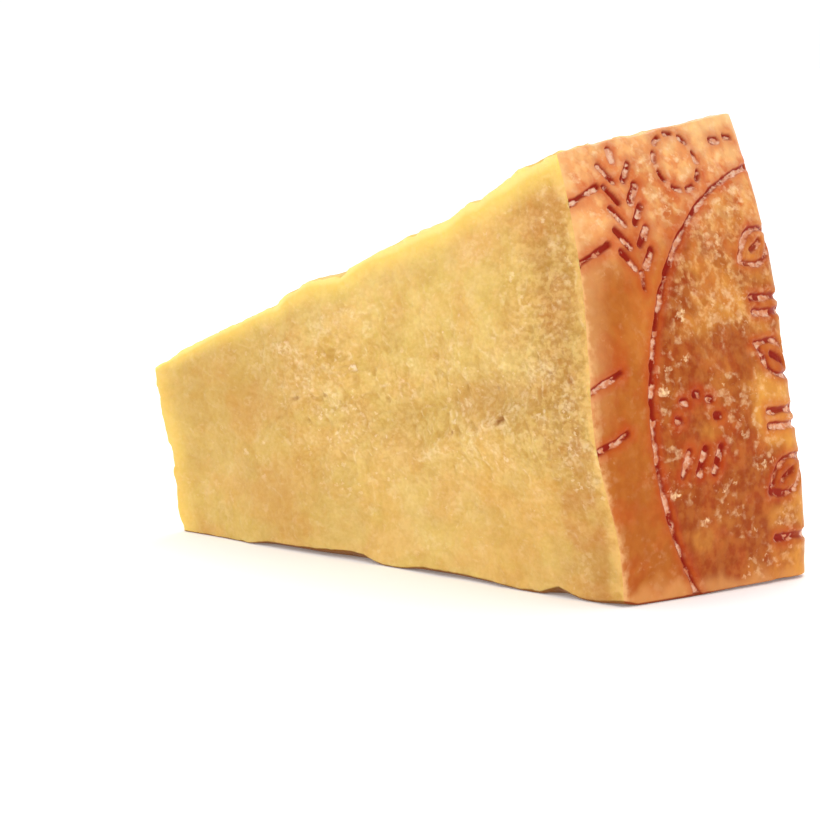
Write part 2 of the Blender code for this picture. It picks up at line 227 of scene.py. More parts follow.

# Brownish patches of the front break, mostly painted shade: in its long hollow, over its darker
# left part and by the rind, and a painted shadow low on the left; as (X, Z, reach along X, reach
# along Z, share)
SHADES = (
    (0.178, 0.0375, 0.018, 0.0055, 1.2),
    (0.152, 0.0325, 0.013, 0.0050, 0.65),
    (0.096, 0.033, 0.024, 0.016, 0.92),
    (0.080, 0.016, 0.020, 0.016, 0.4),
    (0.109, 0.013, 0.016, 0.010, 0.8),
    (0.124, 0.041, 0.012, 0.006, 0.4),
    (0.186, 0.016, 0.022, 0.012, 0.25),
    (0.199, 0.026, 0.010, 0.010, 0.5),
    (0.199, 0.058, 0.006, 0.020, 0.60),
    (0.204, 0.088, 0.010, 0.007, 0.5),
)
# The warmer upper part of the front towards the rind, and orange places in the same terms
WARM_ABOVE = (0.048, 0.078)
WARM_FROM_X = (0.135, 0.180)
WARM_PLACES = (
    (0.182, 0.018, 0.026, 0.012, 0.85),
    (0.204, 0.088, 0.012, 0.008, 1.6),
)
# Paler streaks of the front, the first painted light along the upper slope of the long hollow:
# their ends in X and Z, their reach to either side, and how strong
STREAKS = (
    (0.143, 0.0345, 0.1926, 0.049, 0.0030, 0.9),
    (0.138, 0.020, 0.160, 0.014, 0.0060, 0.5),
    (0.140, 0.0606, 0.190, 0.078, 0.0045, 0.6),
)
# Browner and more golden places of the rind: across and up it, their reaches, and by how much
RIND_PLACES = (
    (0.032, 0.046, 0.009, 0.009, -0.6),
    (0.042, 0.040, 0.008, 0.012, 0.7),
    (0.034, 0.054, 0.009, 0.007, 0.2),
    (0.026, 0.020, 0.008, 0.008, -0.3),
    (0.056, 0.036, 0.006, 0.012, -0.5),
)

# The surface's grid: the axis a side faces along, its end, and its stops along X, Y and Z
PANELS = (
    (1, 0, (236, 0, 150)),
    (1, 1, (156, 0, 96)),
    (0, 0, (0, 58, 44)),
    (0, 1, (0, 156, 216)),
    (2, 0, (64, 28, 0)),
    (2, 1, (164, 64, 0)),
)
# The gap that a side leaves at its edges, and how its stops crowd towards them
GAP = 0.00012
SIDE_MARGIN = 0.8 * GAP
CROWDING = 2.4
CROWD_REACH = 0.0011
SOFT_CROWD_REACH = 0.0033
STOP_SAMPLES = 4000

# Pressed marks. A place on the rind is (Y, height along the curve of the rind).
# The long plain groove
RING_CENTRE = (0.064, 0.032)
RING_RADIUS = 0.054
RING_ANGLES = (math.radians(101.0), math.radians(221.0))
RING_POINTS = 61
# The ear of grain
EAR_Y = 0.0138
EAR_BOTTOM = 0.0655
EAR_PAIRS = 5
EAR_PITCH = 0.0044
EAR_SPREAD = 0.0030
KERNEL_LENGTH = 0.0042
KERNEL_TILT = math.radians(52.0)
# The small dashed ring, and the strokes that begin at the front edge
DASH_RING_CENTRE = (0.0315, 0.0864)
DASH_RING_RADIUS = 0.0060
DASH_RING_DASHES = 9
DASH_SHARE = 0.42
DASH_POINTS = 4
BORDER_DASH_HEIGHTS = (0.0790, 0.0670, 0.0420, 0.0300)
BORDER_DASH_LENGTH = 0.0100
BORDER_DASH_TILT = math.radians(20.0)
# Grain outlines with a crease, as (Y, height, turn in degrees)
GRAINS = ((0.0485, 0.0680, 28.0), (0.0485, 0.0450, -28.0), (0.0480, 0.0215, 28.0))
GRAIN_LENGTH = 0.0135
GRAIN_WIDTH = 0.0066
GRAIN_POINTS = 12
CREASE_LENGTH = 0.0040
# Bars, dots and slanted strokes
EDGE_BAR_HEIGHTS = (0.0575, 0.0545, 0.0345, 0.0315, 0.0090)
EDGE_BAR_YS = (0.0435, 0.0555)
DOT_ARC_CENTRE = (0.0225, 0.0340)
DOT_ARC_RADIUS = 0.0056
DOT_ARC_ANGLES = (math.radians(8.0), math.radians(172.0))
DOTS = 5
SLANTS_Y = (0.0170, 0.0215, 0.0260)
SLANT_HEIGHT = 0.0240
SLANT_LENGTH = 0.0052
SLANT_TILT = math.radians(62.0)
CORNER_DOTS = ((0.0440, 0.0905), (0.0485, 0.0912))
DOT_LENGTH = 0.0008
# How far the deposit lies aside, towards the side of a groove that faces the light, where it is
# partly a painted highlight
DEPOSIT_SHIFT = (-0.00012, 0.00026)
# A groove's wall, and the place and width of the low rim beside it, in widths of a thin line, and
# the rim's height as a share of the marks' depth
GROOVE_WALL = (0.22, 0.70)
RIM_AT = 1.05
RIM_WIDTH = 0.45
RIM_SHARE = 0.12
# A place farther than this from every mark counts as this far
FARTHEST_MARK = 0.006

# Where the underside meets the floor: how far in the painted shade reaches, and the strength of the
# painted glow that stands in for light coming through there
CONTACT_SHADE_GAP = (0.004, 0.008)
CONTACT_PAINTED_GLOW = 0.16
BLACK = (0.0, 0.0, 0.0)
WHITE = (1.0, 1.0, 1.0, 1.0)

# Patterns of the finishes: how far they are drawn out, how smooth the cells of the relief are, how
# many times finer a spot's warp is than the spot, and a spot's least radius and the most that
# chance adds to it, in spot sizes
PATTERN_STRETCH = 0.76
CELL_SMOOTHNESS = 0.6
SPECKLE_WARP = 2.2
SPECKLE_RADIUS = (0.14, 0.30)

# The floor, and the soft lights: their width, their place and what they are turned to
FLOOR_ROUGHNESS = 0.9
FLOOR_GLOSS = 0.1
KEY_WIDTH = 0.45
KEY_PLACE = Vector((-0.20, 0.38, 0.60))
FILL_WIDTH = 0.50
FILL_PLACE = Vector((0.45, -0.70, 0.50))
LIGHTS_AIM = Vector((0.0, 0.0, 0.04))

# The camera's aim and place
AIM = Vector((0.00994, -0.02605, 0.0334))
AZIMUTH = math.radians(46.2)
ELEVATION = math.radians(6.8)
CAMERA_DISTANCE = 0.700
CAMERA_LENS = 150.5
SENSOR_WIDTH = 36.0
CLIP_START = 0.05


def smooth(t):
    """0 up to t = 0 and 1 from t = 1, with the rise t * t * (3 - 2t) between."""
    t = np.clip(t, 0.0, 1.0)
    return t * t * (3.0 - 2.0 * t)


def between(t, ends):
    """0 before the first of the two ends and 1 past the second, with a smooth rise."""
    return smooth((t - ends[0]) / (ends[1] - ends[0]))


def fading(t, ends):
    """1 before the first of the two ends and 0 past the second, with a smooth fall."""
    return 1.0 - between(t, ends)


def bell(t):
    """1 at t = 0, falling on either side by the exponential of minus t squared."""
    return np.exp(-(t**2))


def noise(x, y, z, cell, seed, cells=BROAD_CELLS):
    """Smooth random swells, about -1 to 1.

    Each corner of a turned lattice of this cell has a random slope. At a point, the slope times
    the way from its corner is summed over the eight corners round it, each weighted by the
    product of its three smooth blends.
    """
    slopes = np.random.default_rng(seed).normal(size=(cells,) * 3 + (3,))
    place = np.stack(np.broadcast_arrays(x, y, z), axis=-1) @ LATTICE_TURN / cell
    corner = np.floor(place).astype(int)
    past = place - corner
    blend = smooth(past)
    total = 0.0
    for step in itertools.product((0, 1), repeat=3):
        i, j, k = np.moveaxis((corner + step) % cells, -1, 0)
        weight = np.prod(np.where(step, blend, 1.0 - blend), axis=-1)
        total = total + weight * ((past - step) * slopes[i, j, k]).sum(axis=-1)
    return total


def swells(x, y, z, sizes, seed, cells=BROAD_CELLS):
    """The sum of one random field for each (cell, height)."""
    return sum(
        height * noise(x, y, z, cell, seed + number, cells)
        for number, (cell, height) in enumerate(sizes)
    )


def front_relief(x, z, sizes):
    """How far the front break stands out, towards -Y.

    A bell-shaped bulge about one height that grows towards the rind, less a sloping bell-shaped
    hollow, plus a crest of the same width below it, plus random swells that calm at the rind.
    """
    reach = np.where(z < BULGE_Z, BULGE_REACH_DOWN, BULGE_REACH_UP)
    fade = BULGE_LEAST + (1.0 - BULGE_LEAST) * between(x, (BULGE_FROM_X, BULGE_TO_X))
    bulge = BULGE * bell((z - BULGE_Z) / reach) * fade
    above = z - HOLLOW_Z - HOLLOW_SLOPE * (x - HOLLOW_X)
    along = bell((x - HOLLOW_X) / HOLLOW_LENGTH)
    hollow = HOLLOW * bell(above / HOLLOW_WIDTH) * along
    crest = CREST * bell((above + CREST_BELOW) / HOLLOW_WIDTH) * along
    off_rind = smooth((sizes.wheel_radius - x) / FRONT_CALM_BY_RIND)
    calm = FRONT_CALM_SHARE + (1.0 - FRONT_CALM_SHARE) * off_rind
    return bulge - hollow + crest + calm * swells(x, 0.0, z, FRONT_SWELLS, SEEDS["front"])


def back_relief(x, z, sizes):
    """How far the back break stands out, towards +Y: swells that end at the rind, less a dip."""
    off_rind = smooth((sizes.wheel_radius - sizes.back_rounding - x) / CALM_BY_RIND)
    by_rind = between(x, (BACK_DIP_FROM_X, sizes.wheel_radius))
    dip = BACK_DIP * bell((z - BACK_DIP_Z) / BACK_DIP_REACH) * by_rind
    return swells(x, 0.0, z, BACK_SWELLS, SEEDS["back"]) * off_rind - dip


def top_relief(x, y, sizes):
    """The rise of the top break: the front edge's steps, turning into random swells to the back."""
    steps = np.interp(x, *np.transpose(TOP_STEPS))
    at_front = bell(np.maximum(y, 0.0) / TOP_STEP_REACH)
    off_rind = smooth((sizes.wheel_radius * math.cos(TOP_ANGLE_FRONT) - x) / CALM_BY_RIND)
    uneven = swells(x, y, 0.0, TOP_SWELLS, SEEDS["top"])
    return steps * at_front + uneven * (1.0 - at_front) * off_rind


def rind_radius(y, sizes):
    """The wheel's radius at this Y: the set radius plus a parabola that is highest at one Y."""
    return sizes.wheel_radius + SWELL * (1.0 - ((y - SWELL_AT_Y) / SWELL_AT_Y) ** 2)


def rounded(place, size, sizes):
    """Points of a box's surface drawn in to rounded edges, and the way each faces.

    Each side has a margin in which its edges bend: the box inside the margins stays, and the rest
    is drawn onto quarter ellipses.
    """
    along, across = place[:, 0] / size[0], place[:, 1] / size[1]
    extra = sizes.back_rounding - sizes.edge_rounding
    low = np.full_like(place, sizes.edge_rounding)
    high = np.full_like(place, sizes.edge_rounding)
    high[:, 0] += extra * between(across, SOFT_ACROSS)
    high[:, 1] += extra * between(along, SOFT_ALONG)
    over_low = np.maximum(low - place, 0.0)
    over_high = np.maximum(place - (size - high), 0.0)
    inner = place + over_low - over_high
    pull = over_high / high - over_low / low
    pull /= np.linalg.norm(pull, axis=1, keepdims=True)
    return inner + np.where(pull > 0.0, high, low) * pull, pull


def bent(place, size, sizes):
    """Points of the rounded box bent into the wedge: along X to the rind, Y to the back, Z up.

    A point at the shares u, w, v of the box's sides lies on the straight line, at the share u,
    from the tip's edge to the point of the rind at the angle v times the slice's angle. Y takes
    the front's relief fading to the back and the back's fading to the front.
    """
    u, w, v = (place / size).T
    x_flat = TIP_BOTTOM_X + u * (sizes.wheel_radius - TIP_BOTTOM_X)
    z_flat = v * (TIP_TOP_Z + u * (sizes.wheel_radius * math.sin(TOP_ANGLE_FRONT) - TIP_TOP_Z))
    front = front_relief(x_flat, z_flat, sizes)
    y = sizes.slice_thickness * w - (1.0 - w) * front + w * back_relief(x_flat, z_flat, sizes)
    angle = v * (TOP_ANGLE_FRONT + TOP_ANGLE_PER_METRE * y)
    radius = rind_radius(y, sizes)
    tip_x = TIP_BOTTOM_X + v * (TIP_TOP_X - TIP_BOTTOM_X)
    tip_swells = swells(0.0, y, z_flat, TIP_SWELLS, SEEDS["tip"])
    tip_x = tip_x + tip_swells * np.minimum(1.0, TIP_SWELLS_GROW * w)
    tip_z = v * (TIP_TOP_Z + TOP_RISE_TO_BACK * y)
    x = (1.0 - u) * tip_x + u * radius * np.cos(angle)
    z = (1.0 - u) * tip_z + u * radius * np.sin(angle)
    z = z + v * top_relief(x, y, sizes)
    chip = np.interp(x, *np.transpose(BOTTOM_CHIPS))
    by_front = np.clip(1.0 - (y + front) / BOTTOM_CHIP_REACH, 0.0, 1.0)
    z = z + chip * by_front * (1.0 - v) ** BOTTOM_CHIP_FALL
    return np.column_stack([x, y, z])


def stops(length, count, soft):
    """Places along a side, from one gap to the other.

    Their density is 1 plus a bell at either end. The far bell stays level over the length called
    soft, and is lower for it. The density is summed along the side and read backwards at equal
    steps.
    """
    fine = np.linspace(GAP, length - GAP, STOP_SAMPLES)
    near = bell(fine / CROWD_REACH)
    far = bell(np.maximum(length - fine - soft, 0.0) / CROWD_REACH)
    reached = np.cumsum(1.0 + CROWDING * (near + far / (1.0 + soft / SOFT_CROWD_REACH)))
    return np.interp(np.linspace(reached[0], reached[-1], count), reached, fine)


def zipped(a, b, along):
    """Triangles between two rows: each step of one is joined to the point it faces in the other."""
    middle_a = (along[a][1:] + along[a][:-1]) / 2
    middle_b = (along[b][1:] + along[b][:-1]) / 2
    facing_a = np.searchsorted(middle_b, middle_a)
    facing_b = np.searchsorted(middle_a, middle_b, side="right")
    return np.concatenate([
        np.column_stack([a[:-1], a[1:], b[facing_a]]),
        np.column_stack([b[:-1], b[1:], a[facing_b]]),
    ])


def outward(faces, places, middle):
    """The faces, with those turned round whose normal points towards the middle of the box."""
    first, second, third = (places[faces[:, corner]] for corner in range(3))
    normal = np.cross(second - first, third - first)
    away = (normal * (places[faces].mean(axis=1) - middle)).sum(axis=1)
    return np.where((away < 0.0)[:, None], faces[:, ::-1], faces)


def box_grid(size, sizes):
    """A closed box: a grid on each side, rows joined along edges, and a triangle at each corner."""
    places, quads, count = [], [], 0
    borders, corners = collections.defaultdict(list), collections.defaultdict(list)
    for axis, end, counts in PANELS:
        first, second = (axis + 1) % 3, (axis + 2) % 3
        soft = [0.0, 0.0, 0.0]
        if axis == 1 and end == 1:
            soft[0] = sizes.back_rounding
        u = stops(size[first], counts[first], soft[first])
        v = stops(size[second], counts[second], soft[second])
        grid = np.empty((len(u), len(v), 3))
        grid[..., axis] = end * size[axis]
        grid[..., first] = u[:, None]
        grid[..., second] = v
        number = np.arange(len(u) * len(v)).reshape(len(u), len(v)) + count
        count += number.size
        places.append(grid.reshape(-1, 3))
        ring = [number[:-1, :-1], number[1:, :-1], number[1:, 1:], number[:-1, 1:]]
        quads.append(np.stack(ring, axis=-1).reshape(-1, 4))
        for low_high in (0, 1):
            row = -low_high
            borders[frozenset({(axis, end), (first, low_high)})].append(number[row])
            borders[frozenset({(axis, end), (second, low_high)})].append(number[:, row])
            for other in (0, 1):
                corner = frozenset({(axis, end), (first, low_high), (second, other)})
                corners[corner].append(number[row, -other])
    places = np.concatenate(places)
    triangles = [np.array(list(corners.values()))]
    for edge, (a, b) in borders.items():
        running = 3 - sum(axis for axis, end in edge)
        triangles.append(zipped(a, b, places[:, running]))
    middle = size / 2
    return (
        places,
        outward(np.concatenate(quads), places, middle),
        outward(np.concatenate(triangles), places, middle),
    )


def line(start, length, tilt):
    """Two ends of a straight stroke that begins at start and climbs at this tilt."""
    y, s = start
    return [(y, s), (y + length * math.cos(tilt), s + length * math.sin(tilt))]


def arc(centre, radius, start, end, count):
    """Points of an arc on the rind, from one angle to another."""
    return [
        (centre[0] + radius * math.cos(angle), centre[1] + radius * math.sin(angle))
        for angle in np.linspace(start, end, count)
    ]


def grain(centre, turn):
    """A closed outline with two pointed ends: half a sine wave out, and its mirror back, turned."""
    outline = []
    for side in (1.0, -1.0):
        for step in range(GRAIN_POINTS):
            t = step / GRAIN_POINTS
            along = side * GRAIN_LENGTH * (t - 0.5)
            aside = side * GRAIN_WIDTH / 2 * math.sin(math.pi * t)
            outline.append((
                centre[0] + along * math.cos(turn) - aside * math.sin(turn),
                centre[1] + along * math.sin(turn) + aside * math.cos(turn),
            ))
    return outline + outline[:1]


def marks(sizes):
    """Every pressed stroke, as (its points on the rind, its width)."""
    thin, wide = sizes.thin_line, sizes.wide_line
    strokes = [(arc(RING_CENTRE, RING_RADIUS, *RING_ANGLES, RING_POINTS), thin)]
    strokes.append(([(EAR_Y, EAR_BOTTOM - EAR_PITCH), (EAR_Y, EAR_BOTTOM - EAR_PITCH / 4)], thin))
    for pair in range(EAR_PAIRS):
        low = EAR_BOTTOM + pair * EAR_PITCH
        for side in (-1.0, 1.0):
            foot = (EAR_Y + side * EAR_SPREAD / 2, low)
            tip = (
                foot[0] + side * KERNEL_LENGTH * math.cos(KERNEL_TILT),
                low + KERNEL_LENGTH * math.sin(KERNEL_TILT),
            )
            strokes.append(([foot, tip], wide))
    top = EAR_BOTTOM + EAR_PAIRS * EAR_PITCH
    strokes.append(([(EAR_Y, top), (EAR_Y, top + EAR_PITCH / 2)], wide))
    turn = 2.0 * math.pi / DASH_RING_DASHES
    for dash in range(DASH_RING_DASHES):
        start, end = dash * turn, (dash + DASH_SHARE) * turn
        strokes.append((arc(DASH_RING_CENTRE, DASH_RING_RADIUS, start, end, DASH_POINTS), thin))
    for s in BORDER_DASH_HEIGHTS:
        border = -float(front_relief(sizes.wheel_radius, s, sizes)) - sizes.mark_depth
        strokes.append((line((border, s), BORDER_DASH_LENGTH, BORDER_DASH_TILT), thin))
    for y, s, degrees in GRAINS:
        turn = math.radians(degrees)
        strokes.append((grain((y, s), turn), thin))
        half = CREASE_LENGTH / 2
        start = (y - half * math.cos(turn), s - half * math.sin(turn))
        strokes.append((line(start, CREASE_LENGTH, turn), thin))
    for s in EDGE_BAR_HEIGHTS:
        strokes.append(([(y, s) for y in EDGE_BAR_YS], wide))
    for y, s in arc(DOT_ARC_CENTRE, DOT_ARC_RADIUS, *DOT_ARC_ANGLES, DOTS):
        strokes.append(([(y, s), (y + DOT_LENGTH, s)], wide))
    for y in SLANTS_Y:
        strokes.append((line((y, SLANT_HEIGHT), SLANT_LENGTH, SLANT_TILT), wide))
    for y, s in CORNER_DOTS:
        strokes.append(([(y, s), (y + 2 * DOT_LENGTH, s)], wide))
    return strokes


def mark_distance(y, s, strokes, thin):
    """How far each place is from the nearest stroke's middle line, less what a wide one adds.

    The way from a piece of a stroke is the length left over when the part along it, held between
    its two ends, is taken from the way to its start.
    """
    nearest = np.full(len(y), FARTHEST_MARK)
    for path, width in strokes:
        path = np.array(path)
        start, step = path[:-1], np.diff(path, axis=0)
        way_y, way_s = y[:, None] - start[:, 0], s[:, None] - start[:, 1]
        share = (way_y * step[:, 0] + way_s * step[:, 1]) / (step**2).sum(axis=1)
        share = np.clip(share, 0.0, 1.0)
        away = np.hypot(way_y - share * step[:, 0], way_s - share * step[:, 1]).min(axis=1)
        nearest = np.minimum(nearest, away - (width - thin) / 2)
    return nearest


def ridge(x, z, ends, width):
    """A bell across the straight line between two ends, given as X, Z, X and Z."""
    return bell(mark_distance(x, z, [((ends[:2], ends[2:]), 0.0)], 0.0) / width)


def bells(a, b, places):
    """A bell round each place: where it is along A and B, its reach along them, and its height."""
    return [
        height * bell((a - at_a) / reach_a) * bell((b - at_b) / reach_b)
        for at_a, at_b, reach_a, reach_b, height in places
    ]


def crumb_relief(x, y, z, sizes):
    """The fine relief of broken paste, its pale torn edges, how crumbly it is, and its single pits.

    Rounded crumbs are the size of a random field without its sign. Flakes are the staircase of a
    second field less that field, and their torn edges are where a stair climbs. Torn crests are
    bells about short lines on the front. Pits are the peaks of a last field and a few slanting
    bells on the front, which also have torn lips.
    """
    crumbs = sum(
        share * (np.abs(noise(x, y, z, cell, SEEDS["crumb"] + number, FINE_CELLS)) - CRUMB_LEVEL)
        for number, (cell, share) in enumerate(CRUMB)
    )
    field = swells(x, y, z, FLAKES, SEEDS["flakes"], FINE_CELLS)
    past = field - np.floor(field)
    climb = between(past, FLAKE_STEP)
    flakes = climb - past + 0.5
    band = bell((z - CRUMBLY_Z) / CRUMBLY_REACH) * between(x, CRUMBLY_FROM_X)
    by_rind = between(x, CRUMBLY_BY_RIND) * between(z, CRUMBLY_ABOVE)
    band = np.maximum(band, CRUMBLY_BY_RIND_SHARE * by_rind)
    on_front = fading(y, (0.0, sizes.slice_thickness / 2))
    crumbly = np.where(on_front > 0.0, band, CRUMBLY_ELSEWHERE)
    crumbly = CRUMBLY_LEAST + (1.0 - CRUMBLY_LEAST) * crumbly
    ragged = CREST_RAGGED * noise(x, y, z, CREST_RAGGED_SIZE, SEEDS["ragged"], FINE_CELLS)
    broken = between(noise(x, y, z, BREAK_SIZE, SEEDS["broken"], FINE_CELLS), BREAK_FROM_TO)
    crests = np.maximum.reduce([
        share * ridge(x + ragged, z + ragged, ends, CREST_WIDTH) for *ends, share in CRESTS
    ]) * on_front * broken
    pits = between(noise(x, y, z, PIT_SIZE, SEEDS["pits"], FINE_CELLS), PIT_FROM_TO) * crumbly
    single, lips = np.zeros_like(x), np.zeros_like(x)
    for at_x, at_z, radius, share in FRONT_PITS:
        along = (x - at_x + (z - at_z) * PIT_SLOPE) / PIT_STRETCH
        across = z - at_z - (x - at_x) * PIT_SLOPE
        away = np.hypot(along + ragged / 2, across - ragged / 3) / radius
        single = np.maximum(single, share * bell(away**2) * on_front)
        lips = np.maximum(lips, share * bell(away / PIT_LIP) * on_front)
    pits = np.maximum(pits, single)
    single = np.minimum(single, 1.0)
    crests = crests * (1.0 - single)
    lips = np.minimum(lips, 1.0) * between(past, LIP_FIBRES)
    height = (
        sizes.crumb_height * crumbs * CRUMB_LEAST * (1.0 + crumbly)
        + sizes.flake_height * (flakes * crumbly + crests - PIT_DEPTH * pits)
    )
    torn = np.maximum(4.0 * climb * (1.0 - climb) * crumbly * broken, lips)
    torn = np.maximum(torn, crests) * (1.0 - single)
    return height, np.minimum(torn, 1.0), crumbly, single


def painted_edge_glow(x, y, z, places, pull, size):
    """The painted glow of thin edges, as a share: colour that stands in for light coming through
    them.

    It falls smoothly to nothing at one distance from an edge. It is strongest along the front's
    upper edge, then at the tip's front edge, and weaker along the others.
    """
    uneven = GLOW_UNEVEN * noise(x, y, z, GLOW_UNEVEN_SIZE, SEEDS["glow"], FINE_CELLS)
    round_the_edge = GLOW_TURNS * places[:, 1]
    upper = fading(size[2] - places[:, 2] + round_the_edge + uneven, (0.0, GLOW_REACH))
    upper = upper * (1.0 - GLOW_FADES * between(x, GLOW_FADE_X))
    upper = upper * (1.0 - GLOW_DIMS * between(pull[:, 2], GLOW_DIMS_FACING))
    tip = fading(places[:, 0] + round_the_edge + uneven, (0.0, GLOW_REACH))
    gaps = np.column_stack([places[:, :2], size[1:] - places[:, 1:]])
    second = np.sort(gaps, axis=1)[:, 1]
    elsewhere = fading(second + uneven, (0.0, GLOW_REACH))
    return np.maximum.reduce([upper, GLOW_AT_TIP * tip, GLOW_ELSEWHERE * elsewhere])


def pressed_marks(y, s, ragged, sizes):
    """How far each place is from a mark and from its deposit, and the marks' relief.

    A groove has a level bottom and smooth walls, with a low bell-shaped rim on either side. The
    deposit, partly a painted highlight, lies a little aside of the groove's middle, towards the lit
    side.
    """
    strokes, thin = marks(sizes), sizes.thin_line
    from_mark = mark_distance(y, s, strokes, thin) + ragged
    from_deposit = mark_distance(y + DEPOSIT_SHIFT[0], s + DEPOSIT_SHIFT[1], strokes, thin) + ragged
    groove = fading(from_mark / thin, GROOVE_WALL)
    rim = bell((from_mark / thin - RIM_AT) / RIM_WIDTH)
    return from_mark, from_deposit, sizes.mark_depth * (RIM_SHARE * rim - groove)


def rind_faces(faces, places, size, sizes):
    """1 for each face of the rind, which goes round its soft back edge too, and 0 for the paste."""
    middle = places[faces].mean(axis=1)
    at_rind = middle[:, 0] > size[0] - SIDE_MARGIN
    at_back = middle[:, 1] > size[1] - SIDE_MARGIN
    rounded_off = middle[:, 0] > size[0] - sizes.back_rounding
    return (at_rind | rounded_off & at_back).astype(int)


def wedge_surface(sizes):
    """The finished surface: points, faces, their finishes, and what the materials read at points.

    The rounded box is bent to the wedge. The crumb, or the rind's grain and marks, and the chips
    near an edge are then added along the way each point faces.
    """
    size = np.array([
        sizes.wheel_radius - (TIP_BOTTOM_X + TIP_TOP_X) / 2,
        sizes.slice_thickness,
        sizes.wheel_radius * math.sin(TOP_ANGLE_FRONT),
    ])
    places, quads, triangles = box_grid(size, sizes)
    drawn_in, pull = rounded(places, size, sizes)
    points = bent(drawn_in, size, sizes)
    shift = (points.max(axis=0) + points.min(axis=0)) / 2
    shift[2] = points[:, 2].min()

    # The way each point faces, about the wheel's axis
    tilt = places[:, 2] / size[2] * TOP_ANGLE_FRONT
    out = np.column_stack([
        pull[:, 0] * np.cos(tilt) - pull[:, 2] * np.sin(tilt),
        pull[:, 1],
        pull[:, 0] * np.sin(tilt) + pull[:, 2] * np.cos(tilt),
    ])
    x, y, z = points.T
    s = sizes.wheel_radius * np.arctan2(z, x)
    on_rind = between(pull[:, 0], RIND_FACING)
    on_front = between(-pull[:, 1], FRONT_FACING)
    off_base = between(pull[:, 2], OFF_BASE_FACING)

    # Fine relief: crumb on the breaks, a slight grain on the rind, none on the flat base
    crumb, torn, crumbly, single_pits = crumb_relief(x, y, z, sizes)
    rind_grain = sizes.rind_relief * swells(x, y, z, RIND_GRAIN, SEEDS["rind"], FINE_CELLS)
    ragged = sizes.thin_line * swells(x, y, z, MARK_RAGGED, SEEDS["marks"], FINE_CELLS)
    from_mark, from_deposit, pressed = pressed_marks(y, s, ragged, sizes)
    height = (1.0 - on_rind) * crumb + on_rind * (rind_grain + pressed)
    edge_gap = np.sort(np.hstack([places, size - places]), axis=1)[:, 1]
    chipped = between(noise(x, y, z, CHIP_SIZE, SEEDS["chips"], FINE_CELLS), CHIP_FROM_TO)
    height = height - sizes.edge_chips * chipped * bell(edge_gap / CHIP_REACH)
    points = points + (height * off_base)[:, None] * out
    points[:, 2] = np.maximum(points[:, 2], 0.0)

    # Tints of the front, with painted shade and a painted light streak among them, and random
    # patches
    warm_part = between(z, WARM_ABOVE) * between(x, WARM_FROM_X)
    granular = between(x, GRANULAR_X) * between(z, GRANULAR_ABOVE) * fading(z, GRANULAR_BELOW)
    streaks = np.maximum.reduce([
        share * ridge(x, z, ends, width) for *ends, width, share in STREAKS
    ])
    patches = [
        swells(x, y, z, [(cell / part, 1.0 / part) for part in (1, 2, 4)], seed, FINE_CELLS)
        for cell, seed in PATCHES
    ]
    patches[0] = patches[0] + sum(bells(y, s, RIND_PLACES))
    inside_ring = RING_RADIUS - np.hypot(y - RING_CENTRE[0], s - RING_CENTRE[1])
    fields = {
        "mark_distance": from_mark,
        "deposit_distance": from_deposit,
        "crumb": crumb * off_base,
        "torn": torn * off_base,
        "crumbly": crumbly,
        "granular": granular * on_front,
        "pit": single_pits,
        "warmth": np.maximum.reduce([warm_part, *bells(x, z, WARM_PLACES)]),
        "streaks": streaks * on_front,
        # Painted shade of the front break
        "shade": np.maximum.reduce(bells(x, z, SHADES)) * on_front,
        # Painted glow of thin edges, standing in for light that comes through them
        "glow": painted_edge_glow(x, y, z, places, pull, size),
        # Painted shade and painted glow on the underside near its edges, where it meets the floor
        "contact_shade_and_glow": between(-pull[:, 2], BASE_FACING) * fading(edge_gap, CONTACT_SHADE_GAP),
        "rind_gap": rind_radius(y, sizes) - np.hypot(x, z),
        "front_gap": places[:, 1],
        "rind_place": np.column_stack([y, s, inside_ring]),
        "patches": np.column_stack(patches),
    }
    finishes = [rind_faces(faces, places, size, sizes) for faces in (quads, triangles)]
    return points - shift, (quads, triangles), np.concatenate(finishes), fields


def surface_mesh(name, points, faces, finishes, fields):
    """A mesh from whole arrays, with a point attribute for each field of values or vectors."""
    mesh = bpy.data.meshes.new(name)
    mesh.from_pydata(points.tolist(), [], sum((part.tolist() for part in faces), []))
    mesh.polygons.foreach_set("material_index", finishes)
    for field, values in fields.items():
        kind, key = ("FLOAT", "value") if values.ndim == 1 else ("FLOAT_VECTOR", "vector")
        mesh.attributes.new(field, kind, "POINT").data.foreach_set(key, values.ravel())
    mesh.update()
    mesh.validate()
    mesh.shade_smooth()
    return mesh


def srgb(red, green, blue):
    """A display colour, 0 to 255, as the linear colour that shaders use."""
    values = np.array([red, green, blue]) / 255.0
    linear = np.where(values <= 0.04045, values / 12.92, ((values + 0.055) / 1.055) ** 2.4)
    return tuple(float(value) for value in linear)


class Value:
    """What a node gives. Sums, differences, products and quotients of it add Math nodes."""

    def __init__(self, socket):
        self.socket = socket
        self.tree = socket.id_data

    def __add__(self, other):
        return maths("ADD", self, other)

    def __sub__(self, other):
        return maths("SUBTRACT", self, other)

    def __rsub__(self, other):
        return maths("SUBTRACT", other, self)

    def __mul__(self, other):
        return maths("MULTIPLY", self, other)

    def __rtruediv__(self, other):
        return maths("DIVIDE", other, self)


def connect(node, inputs):
    """Links or sets a node's inputs, by name or number."""
    for key, value in inputs.items():
        if isinstance(value, Value):
            value.tree.links.new(value.socket, node.inputs[key])
        else:
            node.inputs[key].default_value = value


def add_node(tree, kind, inputs, **settings):
    """Adds a node with these settings and inputs."""
    node = tree.nodes.new(kind)
    for setting, value in settings.items():
        setattr(node, setting, value)
    connect(node, inputs)
    return node


def add(tree, kind, inputs, output=0, **settings):
    """Adds a node and gives one of its outputs, by name or number."""
    return Value(add_node(tree, kind, inputs, **settings).outputs[output])


